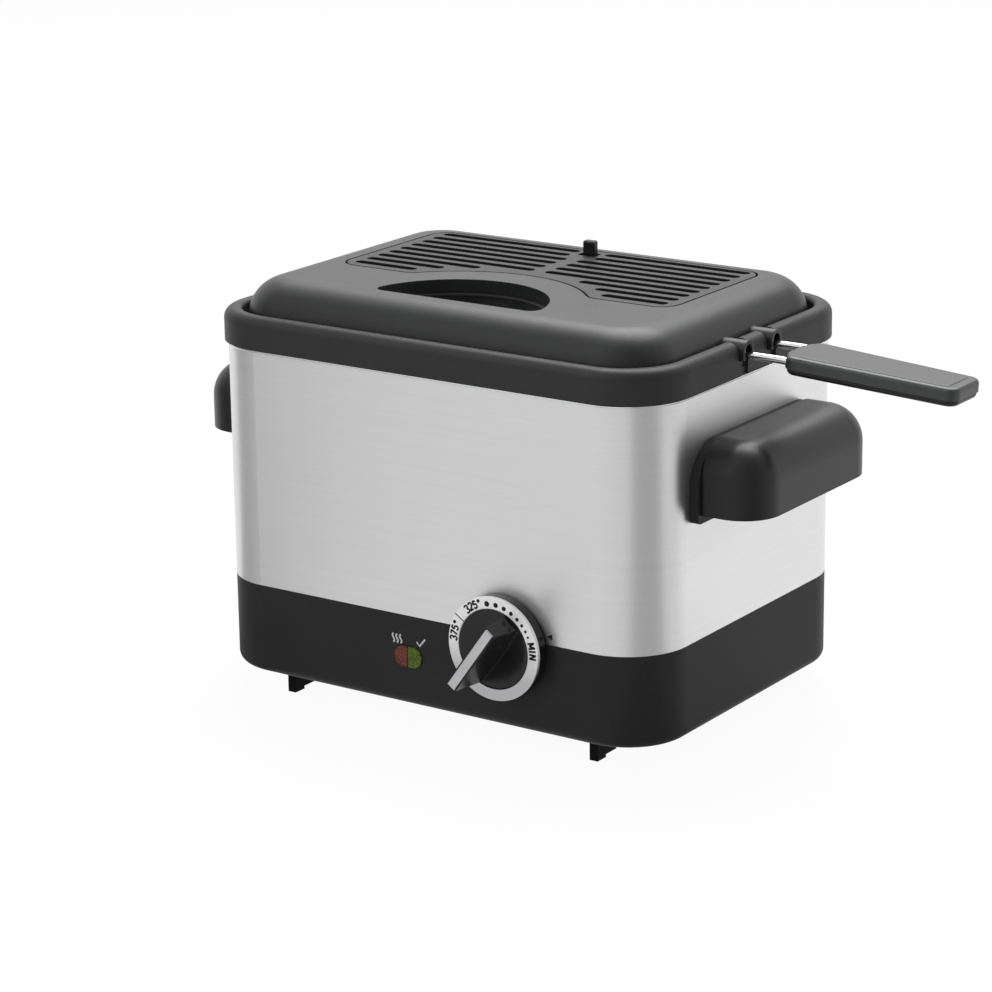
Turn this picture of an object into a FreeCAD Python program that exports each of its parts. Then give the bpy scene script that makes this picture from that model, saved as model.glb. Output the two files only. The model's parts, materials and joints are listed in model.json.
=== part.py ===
import FreeCAD, Part
import math
import os
import re

import Sketcher

# Compact deep fryer. Millimetres, +Z up, front towards -Y, origin on the ground under the body's centre.

SIZES = {
    # standing body
    "body_width": "228",
    "body_depth": "166",
    "corner_radius": "28",
    "foot_height": "11",
    "base_height": "40.7",
    "steel_height": "106.1",
    "base_wall": "3",
    "base_floor": "3",
    "base_edge_radius": "4.5",
    "tongue_height": "5",
    "steel_thickness": "0.8",
    "fit_gap": "0.15",
    "seat_gap": "0.3",
    # bottom plate, feet and the bolts that clamp the stack
    "plate_inset": "8",
    "plate_thickness": "2",
    "plate_ledge": "5",
    "plate_corner": "8",
    "vent_length": "70",
    "vent_width": "4",
    "vent_pitch": "10",
    "vent_count": "5",
    "plate_screw": "3",
    "plate_screw_head": "6",
    "plate_screw_head_height": "1.2",
    "plate_screw_pitch": "36",
    "foot_width": "4",
    "foot_length": "6.5",
    "foot_rib_length": "8",
    "foot_rib_lift": "1.3",
    "foot_inset_x": "34.5",
    "foot_inset_y": "14.5",
    "bolt_inset": "20.5",
    "bolt_diameter": "4",
    "bolt_head": "8",
    "bolt_head_height": "2.5",
    "bolt_grip": "6",
    "stud_diameter": "9",
    "stud_length": "10",
    # rim moulding
    "bezel_height": "14.2",
    "bezel_overhang": "1.6",
    "bezel_lip_radius": "4.5",
    "bezel_inner_radius": "2",
    "bezel_opening_radius": "24",
    "bowl_gap": "1",
    "steel_insert": "3.6",
    # bowl
    "bowl_rim_thickness": "2.5",
    "bowl_rim_ledge": "9",
    "bowl_mouth_radius": "30",
    "bowl_draft": "8",
    "bowl_height": "92",
    "bowl_wall": "2.5",
    "bowl_floor_radius": "10",
    # heater and controls
    "element_diameter": "7",
    "element_inset": "12",
    "element_corner": "24",
    "shield_thickness": "1",
    "shield_margin": "9",
    "shield_rim": "6",
    "dial_x": "42.4",
    "dial_z": "48",
    "shaft_diameter": "6",
    "thermostat_width": "34",
    "thermostat_depth": "16",
    "thermostat_height": "26",
    "thermostat_corner": "2",
    "tab_width": "6",
    "tab_thickness": "0.8",
    "tab_length": "8",
    "shaft_entry": "6",
    "shaft_socket": "9",
    "run_gap": "0.08",
    "bracket_margin": "4",
    "bracket_thickness": "1.5",
    "cutoff_diameter": "16",
    "cutoff_height": "7",
    # dial
    "dial_diameter": "45",
    "dial_band": "5.2",
    "dial_thickness": "6.5",
    "dial_dish": "2",
    "dial_ring_overhang": "0.4",
    "dial_gap": "1.5",
    "dial_ring_thickness": "1.6",
    "grip_bar_length": "32.4",
    "grip_bar_top_length": "33",
    "grip_bar_width": "9",
    "grip_bar_top_width": "5.4",
    "grip_bar_height": "16.5",
    "grip_bar_angle": "54",
    "strip_width": "3.9",
    "strip_thickness": "1.2",
    "strip_sink": "0.8",
    # indicator
    "lamp_x": "-6.8",
    "lamp_z": "33.3",
    "lens_width": "14.2",
    "lens_height": "9.4",
    "lens_depth": "6",
    "lens_proud": "0.8",
    "lens_split": "0.4",
    "lamp_diameter": "4.5",
    "lamp_length": "8",
    "holder_wall": "2",
    # side handles
    "handle_length": "100",
    "handle_reach": "31",
    "handle_height": "30.2",
    "handle_drop": "20.3",
    "handle_round": "16",
    "handle_wall": "3.5",
    "handle_corner": "17",
    "handle_back_wall": "4.5",
    "flange_side": "2",
    "flange_set": "0.8",
    "flange_drop": "3.6",
    "flange_thickness": "4",
    "flange_foot_radius": "2",
    "flange_round": "18",
    "handle_screw": "4",
    "handle_screw_head": "8",
    "handle_screw_head_height": "2.4",
    "handle_screw_bite": "3.5",
    "handle_screw_spacing": "60",
    "handle_screw_lift": "16",
    # supply inlet at the back
    "inlet_x": "-58",
    "inlet_z": "32",
    "inlet_width": "32",
    "inlet_height": "18",
    "inlet_wall": "2",
    "inlet_depth": "13",
    "inlet_flange": "3",
    "inlet_flange_thickness": "1.5",
    "inlet_corner": "4",
    "pin_diameter": "4",
    "pin_length": "6",
    "pin_spacing": "14",
    # lid
    "lid_inset": "7",
    "lid_corner": "26",
    "lid_height": "19.5",
    "lid_round": "17",
    "lid_wall": "2.5",
    "lid_gap": "1.2",
    "rim_drop": "7.5",
    "guide_diameter": "8.5",
    "guide_slot": "5.4",
    "guide_lift": "2",
    "guide_reach": "1.9",
    "notch_gap": "0.4",
    # viewing window
    "arch_inset": "18",
    "window_radius": "42",
    "window_chord_lift": "2",
    "window_corner": "5",
    "window_depth": "6",
    "window_collar": "2.5",
    "gasket_lip": "1.5",
    "gasket_thickness": "1",
    "glass_thickness": "3",
    "glass_overlap": "4",
    "retainer_thickness": "2.5",
    "retainer_width": "11",
    "retainer_boss": "6",
    "retainer_screw": "2.5",
    "retainer_screw_head": "5",
    "retainer_screw_head_height": "1.5",
    "retainer_bite": "4",
    "retainer_screw_circle": "50.7",
    "retainer_screw_angle": "24",
    # filter cover, tray and pad
    "cover_inset": "22",
    "cover_front": "21.8",
    "cover_back_inset": "19.5",
    "cover_corner": "9",
    "cover_groove": "1",
    "cover_arch_radius": "58.5",
    "cover_arch_corner": "8",
    "slot_rows": "9",
    "slot_pitch": "8.4",
    "slot_width": "4.8",
    "slot_border": "4.5",
    "slot_back": "4.3",
    "slot_bar": "6",
    "tray_flange": "1.8",
    "tray_shelf": "3",
    "tray_depth": "10.5",
    "tray_wall": "1.6",
    "tray_vent": "3",
    "tray_vent_rows": "5",
    "tray_vent_pitch": "8",
    "pad_margin": "1.5",
    "pad_thickness": "6",
    "hinge_tab_x": "65",
    "hinge_tab_width": "8",
    "hinge_tab_length": "3",
    "hinge_tab_thickness": "1.5",
    "hinge_tab_sweep": "9",
    "hinge_tab_drop": "3.4",
    "latch_inset": "6",
    "latch_width": "6",
    "latch_length": "4",
    "latch_rise": "6.2",
    "latch_travel": "2",
    "latch_side_gap": "1.6",
    "latch_foot": "1.2",
    "latch_foot_reach": "2",
    "latch_corner": "1",
    # basket and its handle
    "basket_gap": "6",
    "basket_corner": "10",
    "basket_top": "18",
    "basket_floor_gap": "7.5",
    "frame_wire": "3",
    "hoop_wire": "2",
    "hoop_bend": "2.5",
    "hoop_count": "4",
    "hoop_pitch": "44",
    "mesh_thickness": "0.8",
    "mesh_gap": "8.4",
    "mesh_pitch": "11",
    "mesh_border": "3",
    "wire_diameter": "3.2",
    "wire_spacing": "23",
    "wire_bend": "9",
    "wire_soft_bend": "60",
    "wire_drop": "60",
    "wire_embed": "20",
    "grip_gap": "15",
    "grip_length": "80",
    "grip_width": "30",
    "grip_tip_width": "24.5",
    "grip_slope": "3.5",
    "grip_cover": "2.9",
    "grip_top_thickness": "5.2",
    "grip_bottom_thickness": "2.7",
    "grip_end_bulge": "4.4",
    "grip_end_radius": "9",
    "grip_step": "0.5",
    "grip_edge_radius": "2",
    "grip_tip_radius": "5",
    "grip_screw": "3",
    "grip_screw_head": "5.5",
    "grip_screw_head_height": "1.4",
    "grip_screw_bite": "3",
    "grip_screw_inset": "42",
}

# levels and outlines that follow from the sizes above
DERIVED = {
    "seam_z": "=foot_height + base_height",
    "steel_top_z": "=seam_z + steel_height",
    "bezel_top_z": "=steel_top_z + bezel_height",
    "rim_z": "=bezel_top_z - rim_drop",
    "ledge_z": "=rim_z - bowl_rim_thickness",
    "front_y": "=-body_depth / 2",
    "floor_z": "=foot_height + base_floor",
    "foot_spacing_x": "=body_width - 2 * foot_inset_x",
    "foot_spacing_y": "=body_depth - 2 * foot_inset_y",
    "lid_width": "=body_width - 2 * lid_inset",
    "lid_depth": "=body_depth - 2 * lid_inset",
    "lid_rim_z": "=rim_z + seat_gap",
    "lid_top_z": "=lid_rim_z + lid_height",
    "lid_ceiling_z": "=lid_top_z - lid_wall",
    "bezel_wall": "=body_width / 2 + bezel_overhang - lid_width / 2 - lid_gap",
    "bowl_mouth_width": "=lid_width - 2 * bowl_rim_ledge",
    "bowl_mouth_depth": "=lid_depth - 2 * bowl_rim_ledge",
    "bowl_floor_z": "=rim_z - bowl_height",
    "stud_end_z": "=bowl_floor_z - stud_length",
    "bolt_spacing_x": "=bowl_mouth_width - 2 * (bowl_draft - bowl_wall + bolt_inset)",
    "bolt_spacing_y": "=bowl_mouth_depth - 2 * (bowl_draft - bowl_wall + bolt_inset)",
    "plate_width": "=bolt_spacing_x - 2 * plate_inset",
    "plate_depth": "=bolt_spacing_y - 2 * plate_inset",
    "plate_screw_x": "=(plate_width - plate_ledge) / 2",
    "plate_screw_y": "=plate_screw_pitch / 2",
    "element_length": "=bolt_spacing_x - 2 * element_inset",
    "element_width": "=bolt_spacing_y - 2 * element_inset",
    "handle_bottom": "=steel_top_z - handle_drop - handle_height",
    "handle_screw_z": "=handle_bottom + handle_screw_lift",
    "arch_centre": "=lid_depth / 2 - arch_inset",
    "window_front": "=arch_centre - window_chord_lift",
    "glass_top_z": "=lid_top_z - window_depth - gasket_thickness",
    "glass_bottom_z": "=glass_top_z - glass_thickness",
    "cover_width": "=lid_width - 2 * cover_inset",
    "cover_back": "=lid_depth / 2 - cover_back_inset",
    "latch_y": "=cover_back - latch_inset",
    "tray_floor_z": "=lid_ceiling_z - tray_depth",
    "basket_width": "=bowl_mouth_width - 2 * (bowl_draft + basket_gap)",
    "basket_depth": "=bowl_mouth_depth - 2 * (bowl_draft + basket_gap)",
    "basket_rim_z": "=rim_z - basket_top",
    "basket_floor_z": "=bowl_floor_z + bowl_wall + basket_floor_gap",
    "wire_z": "=rim_z + seat_gap + wire_diameter / 2",
    "wire_x": "=basket_width / 2 + frame_wire / 2 + wire_diameter / 2 + seat_gap",
    "guide_z": "=wire_z + guide_lift",
    "grip_start": "=body_width / 2 + bezel_overhang + guide_reach + grip_gap",
}

doc = FreeCAD.newDocument("DeepFryer")
sheet = doc.addObject("Spreadsheet::Sheet", "Sizes")
for row, (alias, content) in enumerate({**SIZES, **DERIVED}.items(), start=1):
    sheet.set(f"A{row}", alias)
    sheet.set(f"B{row}", content)
    sheet.setAlias(f"B{row}", alias)
doc.recompute()

ALIAS = re.compile(r"\b(" + "|".join([*SIZES, *DERIVED]) + r")\b")
XY, XZ, YZ = "XY_Plane", "XZ_Plane", "YZ_Plane"
UP = FreeCAD.Vector(0, 0, 1)
EDGE_MARGIN = 0.05
parts = []


# reading and binding sizes

def linked(text):
    """A size expression with each alias pointing at its cell."""
    return ALIAS.sub(r"Sizes.\1", text)


def number(text):
    """The value of a size expression."""
    result = sheet.evalExpression(text)
    return float(getattr(result, "Value", result))


def bind(item, prop, text):
    item.setExpression(prop, linked(text))


def keep(item, label):
    """Name a finished sub-part and put it on the list that is written out."""
    item.Label = label
    parts.append(item)
    return item


# sketches, drawn and constrained from size expressions

def new_body(name):
    return doc.addObject("PartDesign::Body", name)


def new_sketch(body, plane, offset="0"):
    support = next(f for f in body.Origin.OriginFeatures if f.Role == plane)
    item = body.newObject("Sketcher::SketchObject", body.Name + "Sketch")
    item.AttachmentSupport = [(support, "")]
    item.MapMode = "FlatFace"
    bind(item, "AttachmentOffset.Base.z", offset)
    return item


def constrain(item, kind, *geometry, text):
    """A dimension that takes its value from a size expression."""
    index = item.addConstraint(Sketcher.Constraint(kind, *geometry, number(text)))
    bind(item, f"Constraints[{index}]", text)


def locate(item, geometry, point, x, y):
    constrain(item, "DistanceX", -1, 1, geometry, point, text=x)
    constrain(item, "DistanceY", -1, 1, geometry, point, text=y)


def corner_points(previous, corner, following, radius):
    """Tangent points, centre and turning side of a rounded corner."""
    back = (previous - corner).normalize()
    ahead = (following - corner).normalize()
    half = back.getAngle(ahead) / 2
    reach = radius / math.tan(half)
    middle = (back + ahead).normalize()
    centre = corner + middle * (radius / math.sin(half))
    turns_left = (corner - previous).cross(following - corner).z > 0
    return corner + back * reach, corner + ahead * reach, centre, turns_left


def outline(item, corners):
    """A closed outline through (x, y) corners; a third value rounds the corner."""
    spots = [FreeCAD.Vector(number(c[0]), number(c[1]), 0) for c in corners]
    count = len(corners)
    bends = []
    for i, corner in enumerate(corners):
        if len(corner) == 2:
            bends.append((spots[i], spots[i], None, True))
        else:
            bends.append(corner_points(spots[i - 1], spots[i], spots[(i + 1) % count], number(corner[2])))
    sides = []
    for i in range(count):
        line = Part.LineSegment(bends[i][1], bends[(i + 1) % count][0])
        sides.append(item.addGeometry(line))
    for i, corner in enumerate(corners):
        into, out_of = sides[i - 1], sides[i]
        if len(corner) == 2:
            item.addConstraint(Sketcher.Constraint("Coincident", into, 2, out_of, 1))
            locate(item, out_of, 1, corner[0], corner[1])
            continue
        entry, leave, centre, turns_left = bends[i]
        first, last = (entry, leave) if turns_left else (leave, entry)
        circle = Part.Circle(centre, UP, number(corner[2]))
        arc = Part.ArcOfCircle(circle, circle.parameter(first), circle.parameter(last))
        bend = item.addGeometry(arc)
        start, end = (1, 2) if turns_left else (2, 1)
        apex = item.addGeometry(Part.Point(spots[i]), True)
        item.addConstraint(Sketcher.Constraint("Tangent", into, 2, bend, start))
        item.addConstraint(Sketcher.Constraint("Tangent", bend, end, out_of, 1))
        item.addConstraint(Sketcher.Constraint("PointOnObject", apex, 1, into))
        item.addConstraint(Sketcher.Constraint("PointOnObject", apex, 1, out_of))
        constrain(item, "Radius", bend, text=corner[2])
        locate(item, apex, 1, corner[0], corner[1])


def rectangle(item, left, right, bottom, top, radius=None):
    corners = [(left, bottom), (right, bottom), (right, top), (left, top)]
    outline(item, corners if radius is None else [c + (radius,) for c in corners])


def centred(item, width, depth, radius=None):
    rectangle(item, f"-({width}) / 2", f"({width}) / 2", f"-({depth}) / 2", f"({depth}) / 2", radius)


def circle(item, x, y, diameter):
    shape = Part.Circle(FreeCAD.Vector(number(x), number(y), 0), UP, number(diameter) / 2)
    ring = item.addGeometry(shape)
    constrain(item, "Diameter", ring, text=diameter)
    locate(item, ring, 3, x, y)


def slot(item, start, end, y, width):
    """A slot along X with round ends, from tip to tip."""
    radius = number(width) / 2
    left, right, level = number(start) + radius, number(end) - radius, number(y)
    low = item.addGeometry(Part.LineSegment(
        FreeCAD.Vector(left, level - radius, 0), FreeCAD.Vector(right, level - radius, 0)))
    high = item.addGeometry(Part.LineSegment(
        FreeCAD.Vector(right, level + radius, 0), FreeCAD.Vector(left, level + radius, 0)))
    nose = item.addGeometry(Part.ArcOfCircle(
        Part.Circle(FreeCAD.Vector(right, level, 0), UP, radius), -math.pi / 2, math.pi / 2))
    tail = item.addGeometry(Part.ArcOfCircle(
        Part.Circle(FreeCAD.Vector(left, level, 0), UP, radius), math.pi / 2, 3 * math.pi / 2))
    item.addConstraint([
        Sketcher.Constraint("Tangent", low, 2, nose, 1),
        Sketcher.Constraint("Tangent", nose, 2, high, 1),
        Sketcher.Constraint("Tangent", high, 2, tail, 1),
        Sketcher.Constraint("Tangent", tail, 2, low, 1),
    ])
    constrain(item, "Radius", nose, text=f"({width}) / 2")
    constrain(item, "Radius", tail, text=f"({width}) / 2")
    locate(item, nose, 3, f"({end}) - ({width}) / 2", y)
    locate(item, tail, 3, f"({start}) + ({width}) / 2", y)


def half_moon(item, radius, front):
    """A segment of a circle about the window's arch centre, closed by a straight front edge."""
    middle = FreeCAD.Vector(0, -number("arch_centre"), 0)
    reach, level = number(radius), -number(front)
    half = math.sqrt(reach ** 2 - (level - middle.y) ** 2)
    left, right = FreeCAD.Vector(-half, level, 0), FreeCAD.Vector(half, level, 0)
    ring = Part.Circle(middle, UP, reach)
    arch = item.addGeometry(Part.ArcOfCircle(ring, ring.parameter(right), ring.parameter(left)))
    chord = item.addGeometry(Part.LineSegment(left, right))
    item.addConstraint([
        Sketcher.Constraint("Coincident", arch, 2, chord, 1),
        Sketcher.Constraint("Coincident", chord, 2, arch, 1),
        Sketcher.Constraint("Horizontal", chord),
    ])
    constrain(item, "Radius", arch, text=radius)
    locate(item, arch, 3, "0", "-arch_centre")
    constrain(item, "DistanceY", -1, 1, chord, 1, text=f"-({front})")


def rounded_moon(item, radius, front, corner):
    """A half moon whose two front corners are rounded."""
    middle = FreeCAD.Vector(0, -number("arch_centre"), 0)
    reach, level, small = number(radius), -number(front), number(corner)
    side = math.sqrt((reach - small) ** 2 - (level + small - middle.y) ** 2)
    right, left = FreeCAD.Vector(side, level + small, 0), FreeCAD.Vector(-side, level + small, 0)
    angle = math.atan2(right.y - middle.y, right.x)
    arch = item.addGeometry(Part.ArcOfCircle(Part.Circle(middle, UP, reach), angle, math.pi - angle))
    nose = item.addGeometry(Part.ArcOfCircle(Part.Circle(right, UP, small), -math.pi / 2, angle))
    tail = item.addGeometry(Part.ArcOfCircle(Part.Circle(left, UP, small), math.pi - angle, 3 * math.pi / 2))
    chord = item.addGeometry(Part.LineSegment(
        FreeCAD.Vector(-side, level, 0), FreeCAD.Vector(side, level, 0)))
    item.addConstraint([
        Sketcher.Constraint("Tangent", chord, 2, nose, 1),
        Sketcher.Constraint("Tangent", nose, 2, arch, 1),
        Sketcher.Constraint("Tangent", arch, 2, tail, 1),
        Sketcher.Constraint("Tangent", tail, 2, chord, 1),
        Sketcher.Constraint("Equal", nose, tail),
        Sketcher.Constraint("Horizontal", chord),
    ])
    constrain(item, "Radius", arch, text=radius)
    constrain(item, "Radius", nose, text=corner)
    locate(item, arch, 3, "0", "-arch_centre")
    constrain(item, "DistanceY", -1, 1, chord, 1, text=f"-({front})")


def arch(item, x, width, bottom, crown):
    """An upright slot with a round top about the crown's height and a square foot."""
    radius, middle = number(width) / 2, number(x)
    low, high = number(bottom), number(crown)
    corners = [FreeCAD.Vector(middle - radius, low, 0), FreeCAD.Vector(middle + radius, low, 0),
               FreeCAD.Vector(middle + radius, high, 0), FreeCAD.Vector(middle - radius, high, 0)]
    foot = item.addGeometry(Part.LineSegment(corners[0], corners[1]))
    right = item.addGeometry(Part.LineSegment(corners[1], corners[2]))
    left = item.addGeometry(Part.LineSegment(corners[3], corners[0]))
    top = item.addGeometry(Part.ArcOfCircle(
        Part.Circle(FreeCAD.Vector(middle, high, 0), UP, radius), 0, math.pi))
    item.addConstraint([
        Sketcher.Constraint("Coincident", foot, 2, right, 1),
        Sketcher.Constraint("Tangent", right, 2, top, 1),
        Sketcher.Constraint("Tangent", top, 2, left, 1),
        Sketcher.Constraint("Coincident", left, 2, foot, 1),
        Sketcher.Constraint("Horizontal", foot),
        Sketcher.Constraint("Vertical", right),
        Sketcher.Constraint("Vertical", left),
    ])
    constrain(item, "Radius", top, text=f"({width}) / 2")
    locate(item, top, 3, x, crown)
    constrain(item, "DistanceY", -1, 1, foot, 1, text=bottom)


# features on a body

def pad(body, item, length, reverse=False):
    feature = body.newObject("PartDesign::Pad", body.Name + "Pad")
    feature.Profile = item
    feature.Reversed = reverse
    bind(feature, "Length", length)
    doc.recompute()
    return feature


def pocket(body, item, depth, reverse=False):
    before = body.Shape.Volume
    feature = body.newObject("PartDesign::Pocket", body.Name + "Pocket")
    feature.Profile = item
    feature.Reversed = reverse
    bind(feature, "Length", depth)
    doc.recompute()
    if not body.Shape.Volume < before - 1e-6:
        raise ValueError(f"{feature.Name} cuts nothing")
    return feature


def revolve(body, item, axis="V_Axis"):
    feature = body.newObject("PartDesign::Revolution", body.Name + "Revolution")
    feature.Profile = item
    feature.ReferenceAxis = (item, [axis])
    feature.Angle = 360
    doc.recompute()
    return feature


def draft(body, level, angle, reverse=False):
    """Lean the upright walls that stand on a flat face at one height outwards."""
    base = body.Tip
    foot = number(level)
    ground, walls = None, []
    for i, face in enumerate(base.Shape.Faces, start=1):
        box = face.BoundBox
        if abs(box.ZMin - foot) > EDGE_MARGIN:
            continue
        if box.ZLength < EDGE_MARGIN:
            ground = f"Face{i}"
        elif abs(face.normalAt(0, 0).z) < EDGE_MARGIN:
            walls.append(f"Face{i}")
    feature = body.newObject("PartDesign::Draft", body.Name + "Draft")
    feature.Base = (base, walls)
    feature.NeutralPlane = (base, [ground])
    bind(feature, "Angle", angle)
    feature.Reversed = reverse
    doc.recompute()
    return feature


def loft(body, kind, first, second):
    before = body.Shape.Volume if body.Tip else 0
    feature = body.newObject(kind, body.Name + "Loft")
    feature.Profile = first
    feature.Sections = [second]
    feature.Ruled = True
    doc.recompute()
    if abs(body.Shape.Volume - before) < 1e-6:
        raise ValueError(f"{feature.Name} changes nothing")
    return feature


def chosen_edges(shape, test):
    """Names of the edges whose middle passes a test."""
    names = []
    for i, edge in enumerate(shape.Edges, start=1):
        middle = edge.valueAt((edge.FirstParameter + edge.LastParameter) / 2)
        if test(edge, middle):
            names.append(f"Edge{i}")
    return names


def fillet(body, test, radius):
    base = body.Tip
    names = chosen_edges(base.Shape, test)
    if not names:
        raise ValueError(f"{body.Name} has no edge to round")
    feature = body.newObject("PartDesign::Fillet", body.Name + "Fillet")
    feature.Base = (base, names)
    bind(feature, "Radius", radius)
    doc.recompute()
    return feature


def at_level(text):
    """A test for edges that lie flat at one height."""
    level = number(text)
    return lambda edge, middle: (abs(edge.BoundBox.ZMin - level) < 1e-4
                                 and abs(edge.BoundBox.ZMax - level) < 1e-4)


def at_depth(text):
    """A test for edges that lie in one plane of constant Y."""
    level = number(text)
    return lambda edge, middle: (abs(edge.BoundBox.YMin - level) < 1e-4
                                 and abs(edge.BoundBox.YMax - level) < 1e-4)


def upright(edge, middle):
    box = edge.BoundBox
    return box.XLength < 1e-4 and box.YLength < 1e-4 and box.ZLength > 1e-4


def gathered(name, shapes):
    """Separate equal pieces that share one node."""
    item = doc.addObject("Part::Feature", name)
    item.Shape = Part.makeCompound(shapes)
    return item


def spread(body, name, places):
    """Copies of one body at several placements, kept as separate solids."""
    return gathered(name, [body.Shape.transformed(place.toMatrix()) for place in places])


def mirrored(body, name):
    """The same piece on the other side of the middle plane."""
    item = doc.addObject("Part::Mirroring", name)
    item.Source = body
    item.Normal = FreeCAD.Vector(1, 0, 0)
    doc.recompute()
    return item


def tube(points, bends, diameter, closed=False):
    """A round bar along straight runs that are joined by tangent arcs."""
    count = len(points)
    inner = range(count) if closed else range(1, count - 1)
    radii = list(bends) if isinstance(bends, list) else [bends] * len(inner)
    edges = []
    bend_ends = {}
    for i, radius in zip(inner, radii):
        entry, leave, centre, _ = corner_points(points[i - 1], points[i], points[(i + 1) % count], radius)
        towards = (points[i] - centre).normalize()
        bend_ends[i] = (entry, centre + towards * radius, leave)
    for i in range(count if closed else count - 1):
        following = (i + 1) % count
        start = bend_ends[i][2] if i in bend_ends else points[i]
        end = bend_ends[following][0] if following in bend_ends else points[following]
        edges.append(Part.LineSegment(start, end).toShape())
        if following in bend_ends:
            edges.append(Part.Arc(*bend_ends[following]).toShape())
    path = Part.Wire(edges)
    first = edges[0]
    begin = first.valueAt(first.FirstParameter)
    ring = Part.Wire(Part.makeCircle(diameter / 2, begin, first.tangentAt(first.FirstParameter)))
    return path.makePipeShell([ring], True, False)


def four_places(spacing_x, spacing_y, level):
    """Placements at the corners of a level rectangle about the middle."""
    half_x, half_y, height = number(spacing_x) / 2, number(spacing_y) / 2, number(level)
    return [FreeCAD.Placement(FreeCAD.Vector(x, y, height), FreeCAD.Rotation())
            for x in (-half_x, half_x) for y in (-half_y, half_y)]


# base, bottom plate and feet

def make_base_shell():
    body = new_body("BaseShell")
    skirt = new_sketch(body, XY, "foot_height")
    centred(skirt, "body_width", "body_depth", "corner_radius")
    pad(body, skirt, "base_height")
    fillet(body, at_level("foot_height"), "base_edge_radius")
    tongue = new_sketch(body, XY, "seam_z")
    inset = "steel_thickness + fit_gap"
    centred(tongue, f"body_width - 2 * ({inset})", f"body_depth - 2 * ({inset})", f"corner_radius - ({inset})")
    pad(body, tongue, "tongue_height")
    hollow = new_sketch(body, XY, "floor_z")
    wall = "base_wall"
    centred(hollow, f"body_width - 2 * {wall}", f"body_depth - 2 * {wall}", f"corner_radius - {wall}")
    pocket(body, hollow, "base_height + tongue_height", reverse=True)
    opening = new_sketch(body, XY, "foot_height")
    centred(opening, "plate_width - 2 * plate_ledge", "plate_depth - 2 * plate_ledge", "plate_corner")
    pocket(body, opening, "base_floor", reverse=True)
    recess = new_sketch(body, XY, "foot_height")
    centred(recess, "plate_width + 2 * fit_gap", "plate_depth + 2 * fit_gap", "plate_corner + fit_gap")
    pocket(body, recess, "plate_thickness", reverse=True)
    bolts = new_sketch(body, XY, "foot_height")
    for side in ("-", ""):
        for end in ("-", ""):
            circle(bolts, f"{side}bolt_spacing_x / 2", f"{end}bolt_spacing_y / 2", "bolt_diameter + 2 * fit_gap")
            circle(bolts, f"{side}plate_screw_x", f"{end}plate_screw_y", "plate_screw + 2 * fit_gap")
    pocket(body, bolts, "base_floor", reverse=True)
    front = new_sketch(body, XZ, "-front_y")
    circle(front, "dial_x", "dial_z", "shaft_diameter + 4 * fit_gap")
    slot(front, "lamp_x - lens_width / 2 - fit_gap", "lamp_x + lens_width / 2 + fit_gap", "lamp_z",
         "lens_height + 2 * fit_gap")
    pocket(body, front, "base_wall")
    back = new_sketch(body, XZ, "front_y")
    rectangle(back, "inlet_x - inlet_width / 2 - fit_gap", "inlet_x + inlet_width / 2 + fit_gap",
              "inlet_z - inlet_height / 2 - fit_gap", "inlet_z + inlet_height / 2 + fit_gap", "inlet_corner")
    pocket(body, back, "base_wall", reverse=True)
    keep(body, "base_shell")


def make_bottom_plate():
    body = new_body("BottomPlate")
    plate = new_sketch(body, XY, "foot_height")
    centred(plate, "plate_width", "plate_depth", "plate_corner")
    pad(body, plate, "plate_thickness")
    cuts = new_sketch(body, XY, "foot_height")
    for i in range(int(number("vent_count"))):
        slot(cuts, "-vent_length / 2", "vent_length / 2",
             f"({i} - (vent_count - 1) / 2) * vent_pitch", "vent_width")
    for side in ("-", ""):
        for end in ("-", ""):
            circle(cuts, f"{side}plate_screw_x", f"{end}plate_screw_y", "plate_screw + 2 * fit_gap")
    pocket(body, cuts, "plate_thickness", reverse=True)
    keep(body, "bottom_plate")


def make_screw(name, shank, head, head_height, length):
    """A pan-head screw along +Z, its head below the origin."""
    body = new_body(name)
    profile = new_sketch(body, XZ)
    outline(profile, [
        ("0", f"-({head_height})"),
        (f"({head}) / 2", f"-({head_height})", f"({head_height}) / 2"),
        (f"({head}) / 2", "0"),
        (f"({shank}) / 2", "0"),
        (f"({shank}) / 2", length),
        ("0", length),
    ])
    revolve(body, profile)
    return body


def make_bottom_screws():
    screw = make_screw("BottomScrew", "plate_screw", "plate_screw_head", "plate_screw_head_height", "base_floor")
    places = four_places("2 * plate_screw_x", "2 * plate_screw_y", "foot_height")
    keep(spread(screw, "BottomScrews", places), "bottom_screws")


def make_feet():
    body = new_body("Foot")
    side = new_sketch(body, YZ, "-foot_width / 2")
    outline(side, [
        ("-foot_length / 2", "0"),
        ("foot_length / 2", "0"),
        ("foot_length / 2", "foot_rib_lift"),
        ("foot_length / 2 + foot_rib_length", "foot_rib_lift"),
        ("foot_length / 2 + foot_rib_length", "foot_height"),
        ("-foot_length / 2", "foot_height"),
    ])
    pad(body, side, "foot_width")
    half_x, half_y = number("foot_spacing_x") / 2, number("foot_spacing_y") / 2
    turned = FreeCAD.Rotation(UP, 180)
    places = []
    for x in (-half_x, half_x):
        places.append(FreeCAD.Placement(FreeCAD.Vector(x, -half_y, 0), FreeCAD.Rotation()))
        places.append(FreeCAD.Placement(FreeCAD.Vector(x, half_y, 0), turned))
    keep(spread(body, "Feet", places), "feet")


# sleeve, rim and bowl

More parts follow.
